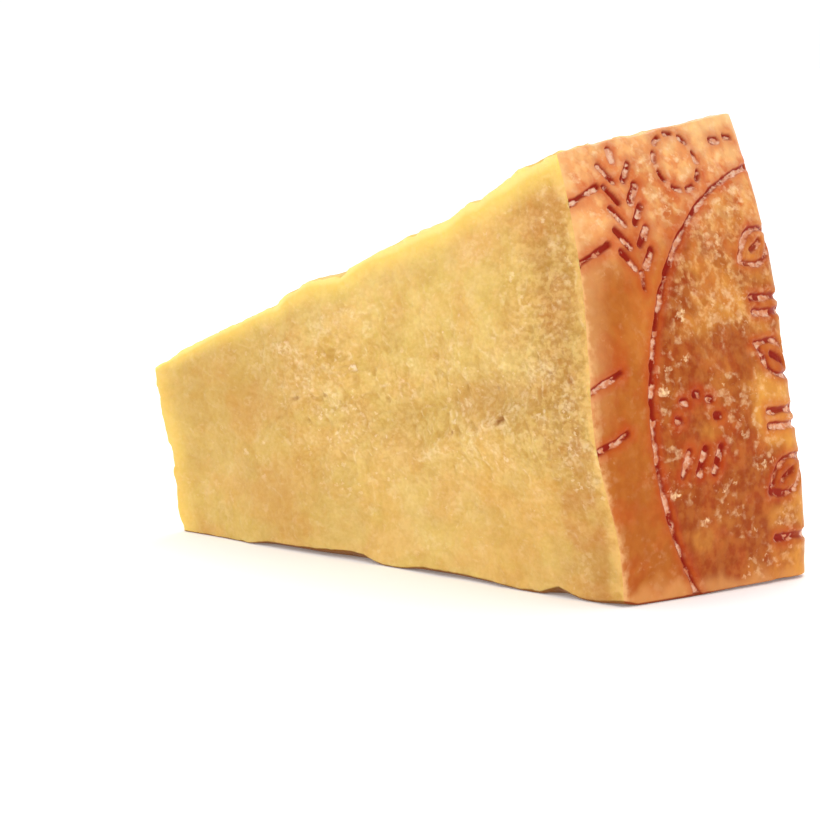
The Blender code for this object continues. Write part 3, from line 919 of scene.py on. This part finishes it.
def maths(operation, a, b):
    """The value of a Math node, of two values or a value and a number."""
    tree = (a if isinstance(a, Value) else b).tree
    return add(tree, "ShaderNodeMath", {0: a, 1: b}, operation=operation)


def largest(*values):
    """The largest of some values."""
    return functools.reduce(lambda a, b: maths("MAXIMUM", a, b), values)


def rise(value, low, high):
    """0 at low and 1 at high, with a smooth rise between; low may be the larger."""
    inputs = {"Value": value, "From Min": low, "From Max": high}
    return add(value.tree, "ShaderNodeMapRange", inputs, interpolation_type="SMOOTHSTEP")


def over(colour, layer, share):
    """A colour with a layer of another laid over it by this share."""
    tree = (share if isinstance(share, Value) else colour).tree
    colours = [part if isinstance(part, Value) else (*part, 1.0) for part in (colour, layer)]
    inputs = {0: share, 6: colours[0], 7: colours[1]}
    return add(tree, "ShaderNodeMix", inputs, output=2, data_type="RGBA")


def point_values(tree, *names):
    """The values of some point attributes."""
    return [add(tree, "ShaderNodeAttribute", {}, "Fac", attribute_name=name) for name in names]


def parts(tree, name):
    """The three values of a vector attribute of the points."""
    vector = add(tree, "ShaderNodeAttribute", {}, "Vector", attribute_name=name)
    return [Value(part) for part in add_node(tree, "ShaderNodeSeparateXYZ", {0: vector}).outputs]


def new_group(name, inputs, output):
    """An empty node group with these float or vector inputs and one float output.

    It gives the group, the values of its inputs, and the node that takes the output.
    """
    group = bpy.data.node_groups.new(name, "ShaderNodeTree")
    for socket, default in inputs.items():
        kind = "NodeSocketVector" if default is None else "NodeSocketFloat"
        item = group.interface.new_socket(socket, in_out="INPUT", socket_type=kind)
        if default is not None:
            item.default_value = default
    group.interface.new_socket(output, in_out="OUTPUT", socket_type="NodeSocketFloat")
    start, end = group.nodes.new("NodeGroupInput"), group.nodes.new("NodeGroupOutput")
    return group, [Value(start.outputs[socket]) for socket in inputs], end


def mottle_group():
    """Soft patches: fractal noise of this size, its values from Low to High spread to 0 to 1."""
    inputs = {"Vector": None, "Size": 0.01, "Detail": 2.0, "Low": 0.4, "High": 0.6}
    group, (place, size, detail, low, high), end = new_group("cheese_mottle", inputs, "Mask")
    soft = {"Vector": place, "Scale": 1.0 / size, "Detail": detail}
    connect(end, {"Mask": rise(add(group, "ShaderNodeTexNoise", soft, "Fac"), low, high)})
    return group


def speckle_group():
    """Ragged spots, each within a radius of its own, round a share of the random centres."""
    inputs = {"Vector": None, "Size": 0.002, "Share": 0.4, "Edge": 0.15, "Ragged": 0.5}
    group, (place, size, share, edge, raggedness), end = new_group("cheese_speckle", inputs, "Mask")
    scale = 1.0 / size
    warp = {"Vector": place, "Scale": scale * SPECKLE_WARP, "Detail": 2.0}
    warp = add(group, "ShaderNodeTexNoise", warp, "Color")
    vector_maths = "ShaderNodeVectorMath"
    centred = add(group, vector_maths, {0: warp, 1: (0.5, 0.5, 0.5)}, operation="SUBTRACT")
    pushed = add(group, vector_maths, {0: centred, "Scale": size * raggedness}, operation="SCALE")
    pushed = add(group, vector_maths, {0: place, 1: pushed}, operation="ADD")
    spots = add_node(group, "ShaderNodeTexVoronoi", {"Vector": pushed, "Scale": scale})
    colour = Value(spots.outputs["Color"])
    chance, bigness = add_node(group, "ShaderNodeSeparateColor", {0: colour}).outputs[:2]
    radius = Value(bigness) * SPECKLE_RADIUS[1] + SPECKLE_RADIUS[0]
    near = rise(Value(spots.outputs["Distance"]), radius, radius - edge)
    connect(end, {"Mask": near * maths("LESS_THAN", Value(chance), share)})
    return group


def grain_group():
    """Fine relief: fractal noise and rounded cells of this size, mixed by the share of cells."""
    inputs = {"Vector": None, "Size": 0.001, "Detail": 3.0, "Cells": 0.5}
    group, (place, size, detail, share), end = new_group("cheese_grain", inputs, "Height")
    scale = 1.0 / size
    rough = {"Vector": place, "Scale": scale, "Detail": detail}
    rough = add(group, "ShaderNodeTexNoise", rough, "Fac")
    cells = {"Vector": place, "Scale": scale, "Smoothness": CELL_SMOOTHNESS}
    cells = 1.0 - add(group, "ShaderNodeTexVoronoi", cells, "Distance", feature="SMOOTH_F1")
    connect(end, {"Height": add(group, "ShaderNodeMix", {0: share, 2: rough, 3: cells})})
    return group


def shared_groups():
    """The node groups that both materials use, made once."""
    makers = {
        "cheese_mottle": mottle_group, "cheese_speckle": speckle_group, "cheese_grain": grain_group
    }
    for name, make in makers.items():
        if name not in bpy.data.node_groups:
            make()
    return [bpy.data.node_groups[name] for name in makers]


def placed(group, place, **inputs):
    """The output of a shared group placed in a material, with these inputs."""
    return add(place.tree, "ShaderNodeGroup", {"Vector": place, **inputs}, node_tree=group)


def stretched(place, along_x, along_y):
    """Object coordinates with a pattern on them drawn out along X or Y."""
    scale = (along_x, along_y, 1.0)
    return add(place.tree, "ShaderNodeMapping", {"Vector": place, "Scale": scale})


def bumped(height, strength, distance):
    """The normal of relief that is finer than the mesh."""
    inputs = {"Strength": strength, "Distance": distance, "Height": height}
    return add(height.tree, "ShaderNodeBump", inputs)


def new_material(name):
    """An empty material with a Principled shader; gives its tree, shader and Object coordinates."""
    material = bpy.data.materials.new(name)
    material.use_nodes = True
    tree = material.node_tree
    place = add(tree, "ShaderNodeTexCoord", {}, "Object")
    return material, tree, tree.nodes["Principled BSDF"], place


def finish_shader(shader, finish, colour, rough, normal, contact_shade_and_glow, gloss, spread):
    """Sets a cheesy finish's shader: dull, a little translucent, with painted shade and glow at the
    floor.
    """
    connect(shader, {
        # Painted shade in the base colour and a painted glow in the emission, where it meets the
        # floor
        "Base Color": over(colour, finish.contact_shade_and_glow, contact_shade_and_glow),
        "Roughness": rough,
        "Normal": normal,
        "Emission Color": over(BLACK, finish.contact_shade_and_glow, contact_shade_and_glow),
        "Emission Strength": CONTACT_PAINTED_GLOW,
        "Specular IOR Level": gloss,
        "Subsurface Weight": finish.translucency,
        "Subsurface Radius": spread,
        "Subsurface Scale": finish.light_depth,
    })


def paste_material(finish):
    """Golden crumbly paste: mottled, flecked, dark by the rind, pale where torn, painted shade in
    hollows.
    """
    material, tree, shader, place = new_material("cheese_paste")
    mottle, speckle, grain_height = shared_groups()
    wide = stretched(place, PATTERN_STRETCH, 1.0)
    broad, middling, clustered = parts(tree, "patches")
    crumbly, granular, crumb, pit, torn = point_values(
        tree, "crumbly", "granular", "crumb", "pit", "torn"
    )
    shade, streaks, warmth, rind_gap, glow, contact_shade_and_glow = point_values(
        tree, "shade", "streaks", "warmth", "rind_gap", "glow", "contact_shade_and_glow"
    )

    # Broad patches, drier and browner towards the rind
    colour = over(finish.gold, finish.dull, rise(broad, -0.35, 0.30))
    colour = over(colour, finish.shade, rise(middling, 0.0, 0.50) * 0.36)
    colour = over(colour, finish.light, rise(middling, 0.0, -0.50) * 0.36)
    # Painted shade over the front's hollow and darker parts
    colour = over(colour, finish.shade, shade * 0.66)
    # Paler streaks; the first is painted light on the upper slope of the long hollow
    colour = over(colour, finish.light, streaks * 0.55)
    colour = over(colour, finish.warm, warmth * 0.42)
    near = rise(middling * 0.006 + rind_gap, 0.018, 0.005)
    by_edge = rise(broad * 0.002 + rind_gap, 0.0046, 0.0018)
    near = near * (by_edge * -0.60 + 0.92) * (warmth * -0.15 + 1.0)
    colour = over(colour, finish.near_rind, near)

    # Crumbs and sandy grain, each turning from deep to light, stronger where the paste is crumbly
    busy = largest(crumbly * 0.80 + 0.18, granular)
    hues = placed(mottle, wide, Size=0.0078, Detail=5.0, Low=0.38, High=0.62)
    colour = over(colour, over(finish.fresh, finish.orange, hues), 0.22)
    small = placed(mottle, wide, Size=0.0026, Detail=5.0, Low=0.36, High=0.64)
    colour = over(colour, over(finish.light, finish.deep, small), busy * 0.27)
    sandy = placed(mottle, wide, Size=0.0008, Detail=3.0, Low=0.38, High=0.62)
    colour = over(colour, over(finish.deep, finish.light, sandy), busy * 0.21)
    # Painted shade in the hollows between crumbs, where the crumb relief is low
    colour = over(colour, finish.deep, rise(crumb, 0.0, -0.00022) * busy * 0.45)

    # Uneven grains by the rind, with brownish gaps between them, and painted shade in deep pits and
    # the deepest hollows
    grains = placed(mottle, wide, Size=0.0016, Detail=6.0, Low=0.40, High=0.62)
    colour = over(colour, over(finish.gap, finish.light, grains), granular * 0.22)
    sunk = largest(rise(crumb, -0.00030, -0.00070) * 0.50, pit * 0.90)
    colour = over(colour, finish.pit, sunk)

    # Whitish haze, fine flecks in clusters, a few crystals, and torn edges
    clusters = rise(clustered, -0.20, 0.30) * crumbly
    haze = placed(mottle, wide, Size=0.0036, Detail=6.0, Low=0.50, High=0.66)
    haze = haze * (sandy * 0.7 + 0.3) * (clusters * 0.40 + 0.04)
    flecks = placed(speckle, wide, Size=0.0013, Share=0.36, Edge=0.16, Ragged=1.2)
    flecks = flecks * (clusters * 0.50 + 0.05)
    crystals = placed(speckle, wide, Size=0.0024, Share=0.045, Edge=0.22, Ragged=1.0)
    crystals = crystals * (clusters * 0.80 + 0.15)
    torn = torn * (sandy * 0.42 + 0.10)
    colour = over(colour, finish.fleck, largest(flecks, crystals, torn, haze))
    # More painted shade over the same places, laid over the flecks
    colour = over(colour, finish.shade, shade * 0.26)

    # The pale ragged border by the rind, and the painted glow of thin edges, standing in for light
    # that comes through them
    border = rise(small * 0.0026 + rind_gap, 0.0042, 0.0010)
    colour = over(colour, finish.border, border * 0.50)
    colour = over(colour, finish.glow, glow * 0.85)
    colour = over(colour, finish.palest_painted_glow, rise(glow, 0.78, 1.0) * 0.50)

    relief = placed(grain_height, place, Size=0.0013, Detail=3.0, Cells=0.55)
    fine = placed(grain_height, place, Size=0.0004, Detail=2.0, Cells=0.2)
    normal = bumped(fine * 0.35 + relief, strength=0.45, distance=0.0005)
    rough = small * 0.12 + (finish.roughness - 0.06)
    finish_shader(
        shader, finish, colour, rough, normal, contact_shade_and_glow, gloss=0.25, spread=(1.0, 0.60, 0.16)
    )
    return material


def rind_material(finish):
    """Waxy rind: orange band, mottled part in the long groove, specks, dark grooves; painted light
    and shade.
    """
    material, tree, shader, place = new_material("cheese_rind")
    mottle, speckle, grain_height = shared_groups()
    wide = stretched(place, 1.0, PATTERN_STRETCH)
    broad, middling, clustered = parts(tree, "patches")
    across, up, inwards = parts(tree, "rind_place")
    from_mark, from_deposit, front_gap, contact_shade_and_glow = point_values(
        tree, "mark_distance", "deposit_distance", "front_gap", "contact_shade_and_glow"
    )
    within = rise(inwards, -0.0006, 0.0006)
    glints = placed(mottle, place, Size=0.0010, Detail=4.0, Low=0.40, High=0.62)

    # The smooth band outside the long groove, lighter at the top, partly as painted light from
    # above
    band = over(finish.band_low, finish.band_high, rise(broad * 0.012 + up, 0.058, 0.088))
    band = over(band, finish.red, rise(middling, 0.0, 0.45) * 0.40)
    by_groove = rise(inwards, -0.011, -0.002) * rise(up, 0.042, 0.052) * rise(up, 0.074, 0.062)
    band = over(band, finish.amber, by_groove * 0.55)

    # The mottled part inside it, more golden towards the top and the back edge
    golden = rise(middling * 0.018 + up, 0.050, 0.082) * 0.70 + (broad * 0.9 - 0.10)
    golden = rise(middling * 0.006 + across, 0.034, 0.052) * 0.22 + golden
    inside = over(finish.brown, finish.gold, rise(golden, 0.0, 1.05))
    inside = over(inside, finish.red, rise(middling, 0.05, 0.45) * 0.40)
    # Lighter towards the top, partly painted light from above
    inside = over(inside, finish.band_high, rise(up, 0.072, 0.094) * 0.80)
    colour = over(band, inside, within)

    # Ruddy blotches, and a pale upper edge that is partly a painted highlight
    busy_top = rise(up, 0.062, 0.086)
    blotches = placed(mottle, place, Size=0.0050, Detail=5.0, Low=0.50, High=0.66)
    colour = over(colour, finish.ruddy, blotches * (busy_top * 0.46 + 0.14))
    lively = placed(mottle, place, Size=0.0030, Detail=7.0, Low=0.40, High=0.60)
    colour = over(colour, over(finish.ruddy, finish.upper_edge, lively), busy_top * 0.38)
    upper_edge = rise(middling * 0.006 + up, 0.082, 0.097)
    upper_edge = upper_edge * (rise(across, 0.020, 0.055) * 0.46 + 0.46)
    colour = over(colour, finish.upper_edge, upper_edge)

    # Fine cream cracks in the upper part inside the long groove, where a mottle passes its middle
    cracks = placed(mottle, place, Size=0.0044, Detail=5.0, Low=0.40, High=0.60)
    cracks = cracks * (cracks * -4.0 + 4.0)
    cracked = rise(broad * 0.016 + up, 0.046, 0.066) * rise(up, 0.084, 0.074) * within
    colour = over(colour, finish.upper_edge, cracks * (glints * 0.34 + 0.10) * cracked)

    # Fine mottling, and pale specks in clusters: fine ones, larger ones and dust
    small = placed(mottle, place, Size=0.0022, Detail=5.0, Low=0.36, High=0.66)
    busy = largest(within, busy_top)
    colour = over(colour, over(finish.brown, finish.light, small), busy * 0.12 + 0.10)
    specks = placed(speckle, wide, Size=0.0014, Share=0.36, Edge=0.34, Ragged=1.2) * 0.60
    large = placed(speckle, wide, Size=0.0030, Share=0.36, Edge=0.22, Ragged=1.6)
    large = large * (glints * 0.50 + 0.46)
    dust = placed(mottle, wide, Size=0.0018, Detail=7.0, Low=0.50, High=0.66)
    dust = dust * (glints * 0.5 + 0.5) * (busy_top * 0.32 + 0.48)
    clusters = rise(clustered, -0.12, 0.22) * (busy * 0.78 + 0.26)
    specks = largest(specks, large, dust) * largest(clusters, busy_top * 0.50 + 0.08)
    colour = over(colour, finish.speck, specks)

    # Paler low edge, and the ragged pale border along the front edge
    foot = rise(middling * 0.003 + up, 0.0055, 0.001)
    colour = over(colour, finish.foot, foot * 0.60)
    soft = rise(front_gap, 0.0075, 0.0010) * rise(up, 0.030, 0.045)
    colour = over(colour, finish.border, soft * 0.28)
    border = rise(small * 0.0018 + front_gap, 0.0034, 0.0)
    border = border * (rise(broad, 0.35, -0.25) * 0.36 + 0.24)
    colour = over(colour, finish.border, border)
    rim = rise(small * 0.0008 + front_gap, 0.0013, 0.0003)
    colour = over(colour, finish.border, rim * 0.45)

    # The back edge, with a painted golden glow that stands in for light coming through
    painted_far_edge_glow = rise(middling * 0.007 + across, 0.040, 0.058)
    painted_far_edge_glow = painted_far_edge_glow * rise(broad * 0.008 + up, 0.076, 0.060) * (small * 0.30 + 0.60)
    colour = over(colour, finish.gold, painted_far_edge_glow)

    # Grooves: a reddish halo; thin dark sides, partly the marks' own dark red and partly painted
    # shade;
    # and a pale broken deposit along the bottom, set towards the lit side and partly painted
    # highlight
    halo = rise(from_mark, 0.0032, 0.0007) * (painted_far_edge_glow * -0.4 + 0.46)
    colour = over(colour, finish.halo, halo)
    walls = rise(from_mark, 0.00094, 0.00030) * (small * 0.06 + 0.93)
    colour = over(colour, finish.groove, walls * (painted_far_edge_glow * -0.55 + 1.0))
    broken = placed(mottle, place, Size=0.0036, Detail=6.0, Low=0.36, High=0.64)
    bare = rise(across, 0.024, 0.019) * rise(up, 0.057, 0.063)
    broken = rise(up, 0.030, 0.075) * 0.24 + (bare * -0.26 + broken)
    broken = rise(painted_far_edge_glow * 0.20 + broken, 0.26, 0.58)
    deposit = rise(small * 0.00034 + from_deposit, 0.00070, 0.00030) * broken
    # Painted glints: the deposit is lighter towards the top and in glinting patches
    glinting = busy_top * 0.35 + glints * 0.80
    deposit_colour = over(finish.deposit, finish.glint, glinting)
    colour = over(colour, deposit_colour, deposit * 0.92)

    relief = placed(grain_height, place, Size=0.0016, Detail=4.0, Cells=0.25)
    normal = bumped(specks * 0.10 + relief, strength=0.30, distance=0.0004)
    rough = small * 0.14 + (finish.roughness - 0.07)
    finish_shader(
        shader, finish, colour, rough, normal, contact_shade_and_glow, gloss=0.10, spread=(1.0, 0.35, 0.12)
    )
    return material


def colour_setting(name, description, default):
    """A colour that the user can change, given as a display colour."""
    return bpy.props.FloatVectorProperty(
        name=name, description=description, subtype="COLOR", size=3, min=0.0, max=1.0,
        default=srgb(*default),
    )


def length_setting(name, description, default):
    """A length in metres that the user can change."""
    return bpy.props.FloatProperty(
        name=name, description=description, unit="LENGTH", subtype="DISTANCE", min=0.0,
        precision=5, default=default,
    )


def share_setting(name, description, default):
    """A share from 0 to 1 that the user can change."""
    return bpy.props.FloatProperty(
        name=name, description=description, subtype="FACTOR", min=0.0, max=1.0, default=default
    )


class WedgeSizes(bpy.types.PropertyGroup):
    """Sizes of the wedge, its relief and its pressed marks."""

    wheel_radius: length_setting("Wheel radius", "Radius of the wheel the wedge comes from", 0.210)
    slice_thickness: length_setting("Thickness", "From the front break to the back break", 0.0560)
    edge_rounding: length_setting("Edge rounding", "Rounding of the broken edges", 0.0008)
    back_rounding: length_setting(
        "Back rounding", "Rounding where the rind turns to the back", 0.0060
    )
    crumb_height: length_setting("Crumb height", "Height of the crumbs of the breaks", 0.00042)
    flake_height: length_setting("Flake height", "Height of the torn flakes and crests", 0.00040)
    rind_relief: length_setting("Rind relief", "Height of the rind's slight swells", 0.00010)
    edge_chips: length_setting("Edge chips", "Depth of the small chips along the edges", 0.00045)
    mark_depth: length_setting("Mark depth", "Depth of the pressed marks", 0.0007)
    thin_line: length_setting("Thin line", "Width of the thin pressed lines", 0.0013)
    wide_line: length_setting("Wide line", "Width of the wide pressed lines", 0.0017)


class PasteFinish(bpy.types.PropertyGroup):
    """Colours and surface of the paste."""

    gold: colour_setting("Gold", "Main colour of the paste", (217, 182, 94))
    dull: colour_setting("Dull", "Duller patches", (213, 178, 101))
    # Deep: also painted shade in the hollows between crumbs
    deep: colour_setting("Deep", "Hollows between crumbs", (192, 144, 56))
    # Light: bright crumbs, and also the painted light of the streaks
    light: colour_setting("Light", "Bright crumbs", (237, 205, 130))
    # Shade: brownish tone of patches, also laid on as painted shade
    shade: colour_setting("Shade", "Brownish patches", (178, 126, 50))
    fleck: colour_setting("Fleck", "Whitish flecks and torn edges", (250, 224, 182))
    warm: colour_setting("Warm", "Warmer upper part", (233, 170, 88))
    near_rind: colour_setting("Near the rind", "Drier paste by the rind", (166, 82, 2))
    gap: colour_setting("Gaps", "Gaps between the grains by the rind", (148, 90, 14))
    # Pits: painted shade in deep pits and hollows
    pit: colour_setting("Pits", "Deep pits", (140, 72, 14))
    border: colour_setting("Border", "Ragged border where paste meets rind", (236, 192, 112))
    # Painted glow: the colour of thin edges stands in for light coming through them
    glow: colour_setting("Glow", "Thin edges that light comes through", (250, 214, 104))
    orange: colour_setting("Orange", "Orange patches of the paste", (238, 162, 80))
    fresh: colour_setting("Fresh", "Yellower patches of the paste", (222, 193, 98))
    # The brightest part of the painted glow
    palest_painted_glow: colour_setting("Palest edge", "The thinnest part of the glowing edge", (255, 236, 158))
    # Painted shade and glow where the paste meets the floor
    contact_shade_and_glow: colour_setting("Contact", "Paste just above the floor", (120, 72, 14))
    roughness: share_setting("Roughness", "How dull the paste's shine is", 0.52)
    translucency: share_setting("Translucency", "Share of light that goes through the paste", 0.35)
    light_depth: length_setting("Light depth", "How far light spreads in the paste", 0.0030)


class RindFinish(bpy.types.PropertyGroup):
    """Colours and surface of the rind."""

    band_low: colour_setting("Band, low", "Smooth band, lower part", (176, 94, 24))
    # The band's upper colour is partly painted light from above
    band_high: colour_setting("Band, high", "Smooth band, upper part", (248, 176, 108))
    brown: colour_setting("Brown", "Brown patches inside the long groove", (152, 62, 4))
    gold: colour_setting("Gold", "Golden patches inside the long groove", (222, 152, 62))
    red: colour_setting("Red", "Ruddy patches", (180, 72, 18))
    light: colour_setting("Light", "Fine light mottling", (226, 150, 68))
    speck: colour_setting("Speck", "Pale specks", (246, 204, 154))
    ruddy: colour_setting("Blotches", "Ruddy blotches, most at the top", (212, 78, 28))
    # Upper edge: partly a painted highlight; also the colour of the fine cracks
    upper_edge: colour_setting("Upper edge", "Pale upper edge", (255, 208, 140))
    amber: colour_setting("Amber", "Golden part of the band beside the long groove", (212, 128, 50))
    foot: colour_setting("Low edge", "Paler low edge", (232, 164, 96))
    border: colour_setting("Border", "Ragged pale border along the front edge", (242, 190, 126))
    halo: colour_setting("Halo", "Reddish halo of the marks", (186, 56, 12))
    # Groove: the marks' own dark red, partly painted shade
    groove: colour_setting("Groove", "Dark sides of the marks", (146, 22, 0))
    deposit: colour_setting("Deposit", "Pale deposit in the marks", (222, 142, 98))
    # Glint: painted highlight in the deposit
    glint: colour_setting("Glint", "Palest parts of the deposit", (248, 204, 172))
    # Painted shade and glow where the rind meets the floor
    contact_shade_and_glow: colour_setting("Contact", "Rind just above the floor", (128, 44, 6))
    roughness: share_setting("Roughness", "How dull the rind's shine is", 0.40)
    translucency: share_setting("Translucency", "Share of light that goes through the rind", 0.10)
    light_depth: length_setting("Light depth", "How far light spreads in the rind", 0.0014)


class StageLook(bpy.types.PropertyGroup):
    """The floor and the lights."""

    floor: colour_setting("Floor", "Colour of the floor", (254, 254, 254))
    floor_width: length_setting("Floor width", "Width of the square floor", 8.0)
    floor_light: share_setting("Floor light", "Light that the floor gives by itself", 0.15)
    surround: bpy.props.FloatProperty(
        name="Surround", description="Strength of the white light from all round", min=0.0,
        default=1.02,
    )
    key_power: bpy.props.FloatProperty(
        name="Key light", description="Power of the soft light above and behind", unit="POWER",
        min=0.0, default=1.7,
    )
    fill_power: bpy.props.FloatProperty(
        name="Fill light", description="Power of the soft light at the front left", unit="POWER",
        min=0.0, default=0.8,
    )


def new_object(name, data):
    """A new object with this mesh, light or camera, in the scene."""
    thing = bpy.data.objects.new(name, data)
    bpy.context.scene.collection.objects.link(thing)
    return thing


def facing(place, direction):
    """A place for something whose own -Z points in this direction."""
    return Matrix.Translation(place) @ direction.to_track_quat("-Z", "Y").to_matrix().to_4x4()


def soft_light(name, power, width, place):
    """A square soft light at a place, turned to the cheese."""
    data = bpy.data.lights.new(name, "AREA")
    data.energy = power
    data.size = width
    new_object(name, data).matrix_world = facing(place, LIGHTS_AIM - place)


class CHEESE_OT_make_wedge(bpy.types.Operator):
    """Make the wedge with its paste and rind"""

    bl_idname = "cheese.make_wedge"
    bl_label = "Make the wedge"
    bl_options = {"REGISTER", "UNDO"}

    def execute(self, context):
        scene = context.scene
        mesh = surface_mesh(NAME, *wedge_surface(scene.cheese_sizes))
        mesh.materials.append(paste_material(scene.cheese_paste))
        mesh.materials.append(rind_material(scene.cheese_rind))
        wedge = new_object(NAME, mesh)
        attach(wedge, "root")
        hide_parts("cheese_wedge")
        return {"FINISHED"}


class CHEESE_OT_make_stage(bpy.types.Operator):
    """Make the pale floor, the soft lights and the camera"""

    bl_idname = "cheese.make_stage"
    bl_label = "Make the stage"
    bl_options = {"REGISTER", "UNDO"}

    def execute(self, context):
        scene = context.scene
        look = scene.cheese_stage
        half = look.floor_width / 2
        mesh = bpy.data.meshes.new("floor")
        mesh.from_pydata(
            [(-half, -half, 0.0), (half, -half, 0.0), (half, half, 0.0), (-half, half, 0.0)],
            [], [(0, 1, 2, 3)],
        )
        material, tree, shader, place = new_material("floor")
        connect(shader, {
            "Base Color": (*look.floor, 1.0),
            "Roughness": FLOOR_ROUGHNESS,
            "Specular IOR Level": FLOOR_GLOSS,
            "Emission Color": WHITE,
            "Emission Strength": look.floor_light,
        })
        mesh.materials.append(material)
        new_object("floor", mesh)

        world = bpy.data.worlds.new("surround")
        world.use_nodes = True
        background = world.node_tree.nodes["Background"]
        connect(background, {"Color": WHITE, "Strength": look.surround})
        scene.world = world
        soft_light("key", look.key_power, KEY_WIDTH, KEY_PLACE)
        soft_light("fill", look.fill_power, FILL_WIDTH, FILL_PLACE)

        data = bpy.data.cameras.new("camera")
        data.lens = CAMERA_LENS
        data.sensor_width = SENSOR_WIDTH
        data.clip_start = CLIP_START
        back = Vector((
            math.sin(AZIMUTH) * math.cos(ELEVATION),
            -math.cos(AZIMUTH) * math.cos(ELEVATION),
            math.sin(ELEVATION),
        ))
        camera = new_object("camera", data)
        camera.matrix_world = facing(AIM + back * CAMERA_DISTANCE, -back)
        scene.camera = camera
        scene.view_settings.view_transform = "Standard"
        scene.cycles.use_denoising = True
        return {"FINISHED"}


class CHEESE_PT_panel(bpy.types.Panel):
    """The wedge's settings and buttons in the sidebar"""

    bl_idname = "CHEESE_PT_panel"
    bl_label = "Hard cheese wedge"
    bl_space_type = "VIEW_3D"
    bl_region_type = "UI"
    bl_category = "Cheese"

    def draw(self, context):
        for group, title in (
            ("cheese_sizes", "Sizes"), ("cheese_paste", "Paste"), ("cheese_rind", "Rind"),
        ):
            box = self.layout.box()
            box.label(text=title)
            settings = getattr(context.scene, group)
            for name in settings.__annotations__:
                box.prop(settings, name)
        self.layout.operator(CHEESE_OT_make_wedge.bl_idname)
        box = self.layout.box()
        box.label(text="Stage")
        for name in StageLook.__annotations__:
            box.prop(context.scene.cheese_stage, name)
        self.layout.operator(CHEESE_OT_make_stage.bl_idname)


CLASSES = (
    WedgeSizes, PasteFinish, RindFinish, StageLook,
    CHEESE_OT_make_wedge, CHEESE_OT_make_stage, CHEESE_PT_panel,
)
SETTINGS = {
    "cheese_sizes": WedgeSizes, "cheese_paste": PasteFinish, "cheese_rind": RindFinish,
    "cheese_stage": StageLook,
}


def register():
    """Registers the classes and puts the settings on the scene."""
    for cls in CLASSES:
        bpy.utils.register_class(cls)
    for name, cls in SETTINGS.items():
        setattr(bpy.types.Scene, name, bpy.props.PointerProperty(type=cls))


def unregister():
    """Takes the settings and the classes away again."""
    for name in SETTINGS:
        delattr(bpy.types.Scene, name)
    for cls in reversed(CLASSES):
        bpy.utils.unregister_class(cls)


def main():
    register()
    bpy.ops.cheese.make_stage()
    bpy.ops.cheese.make_wedge()


if __name__ == "__main__":
    main()
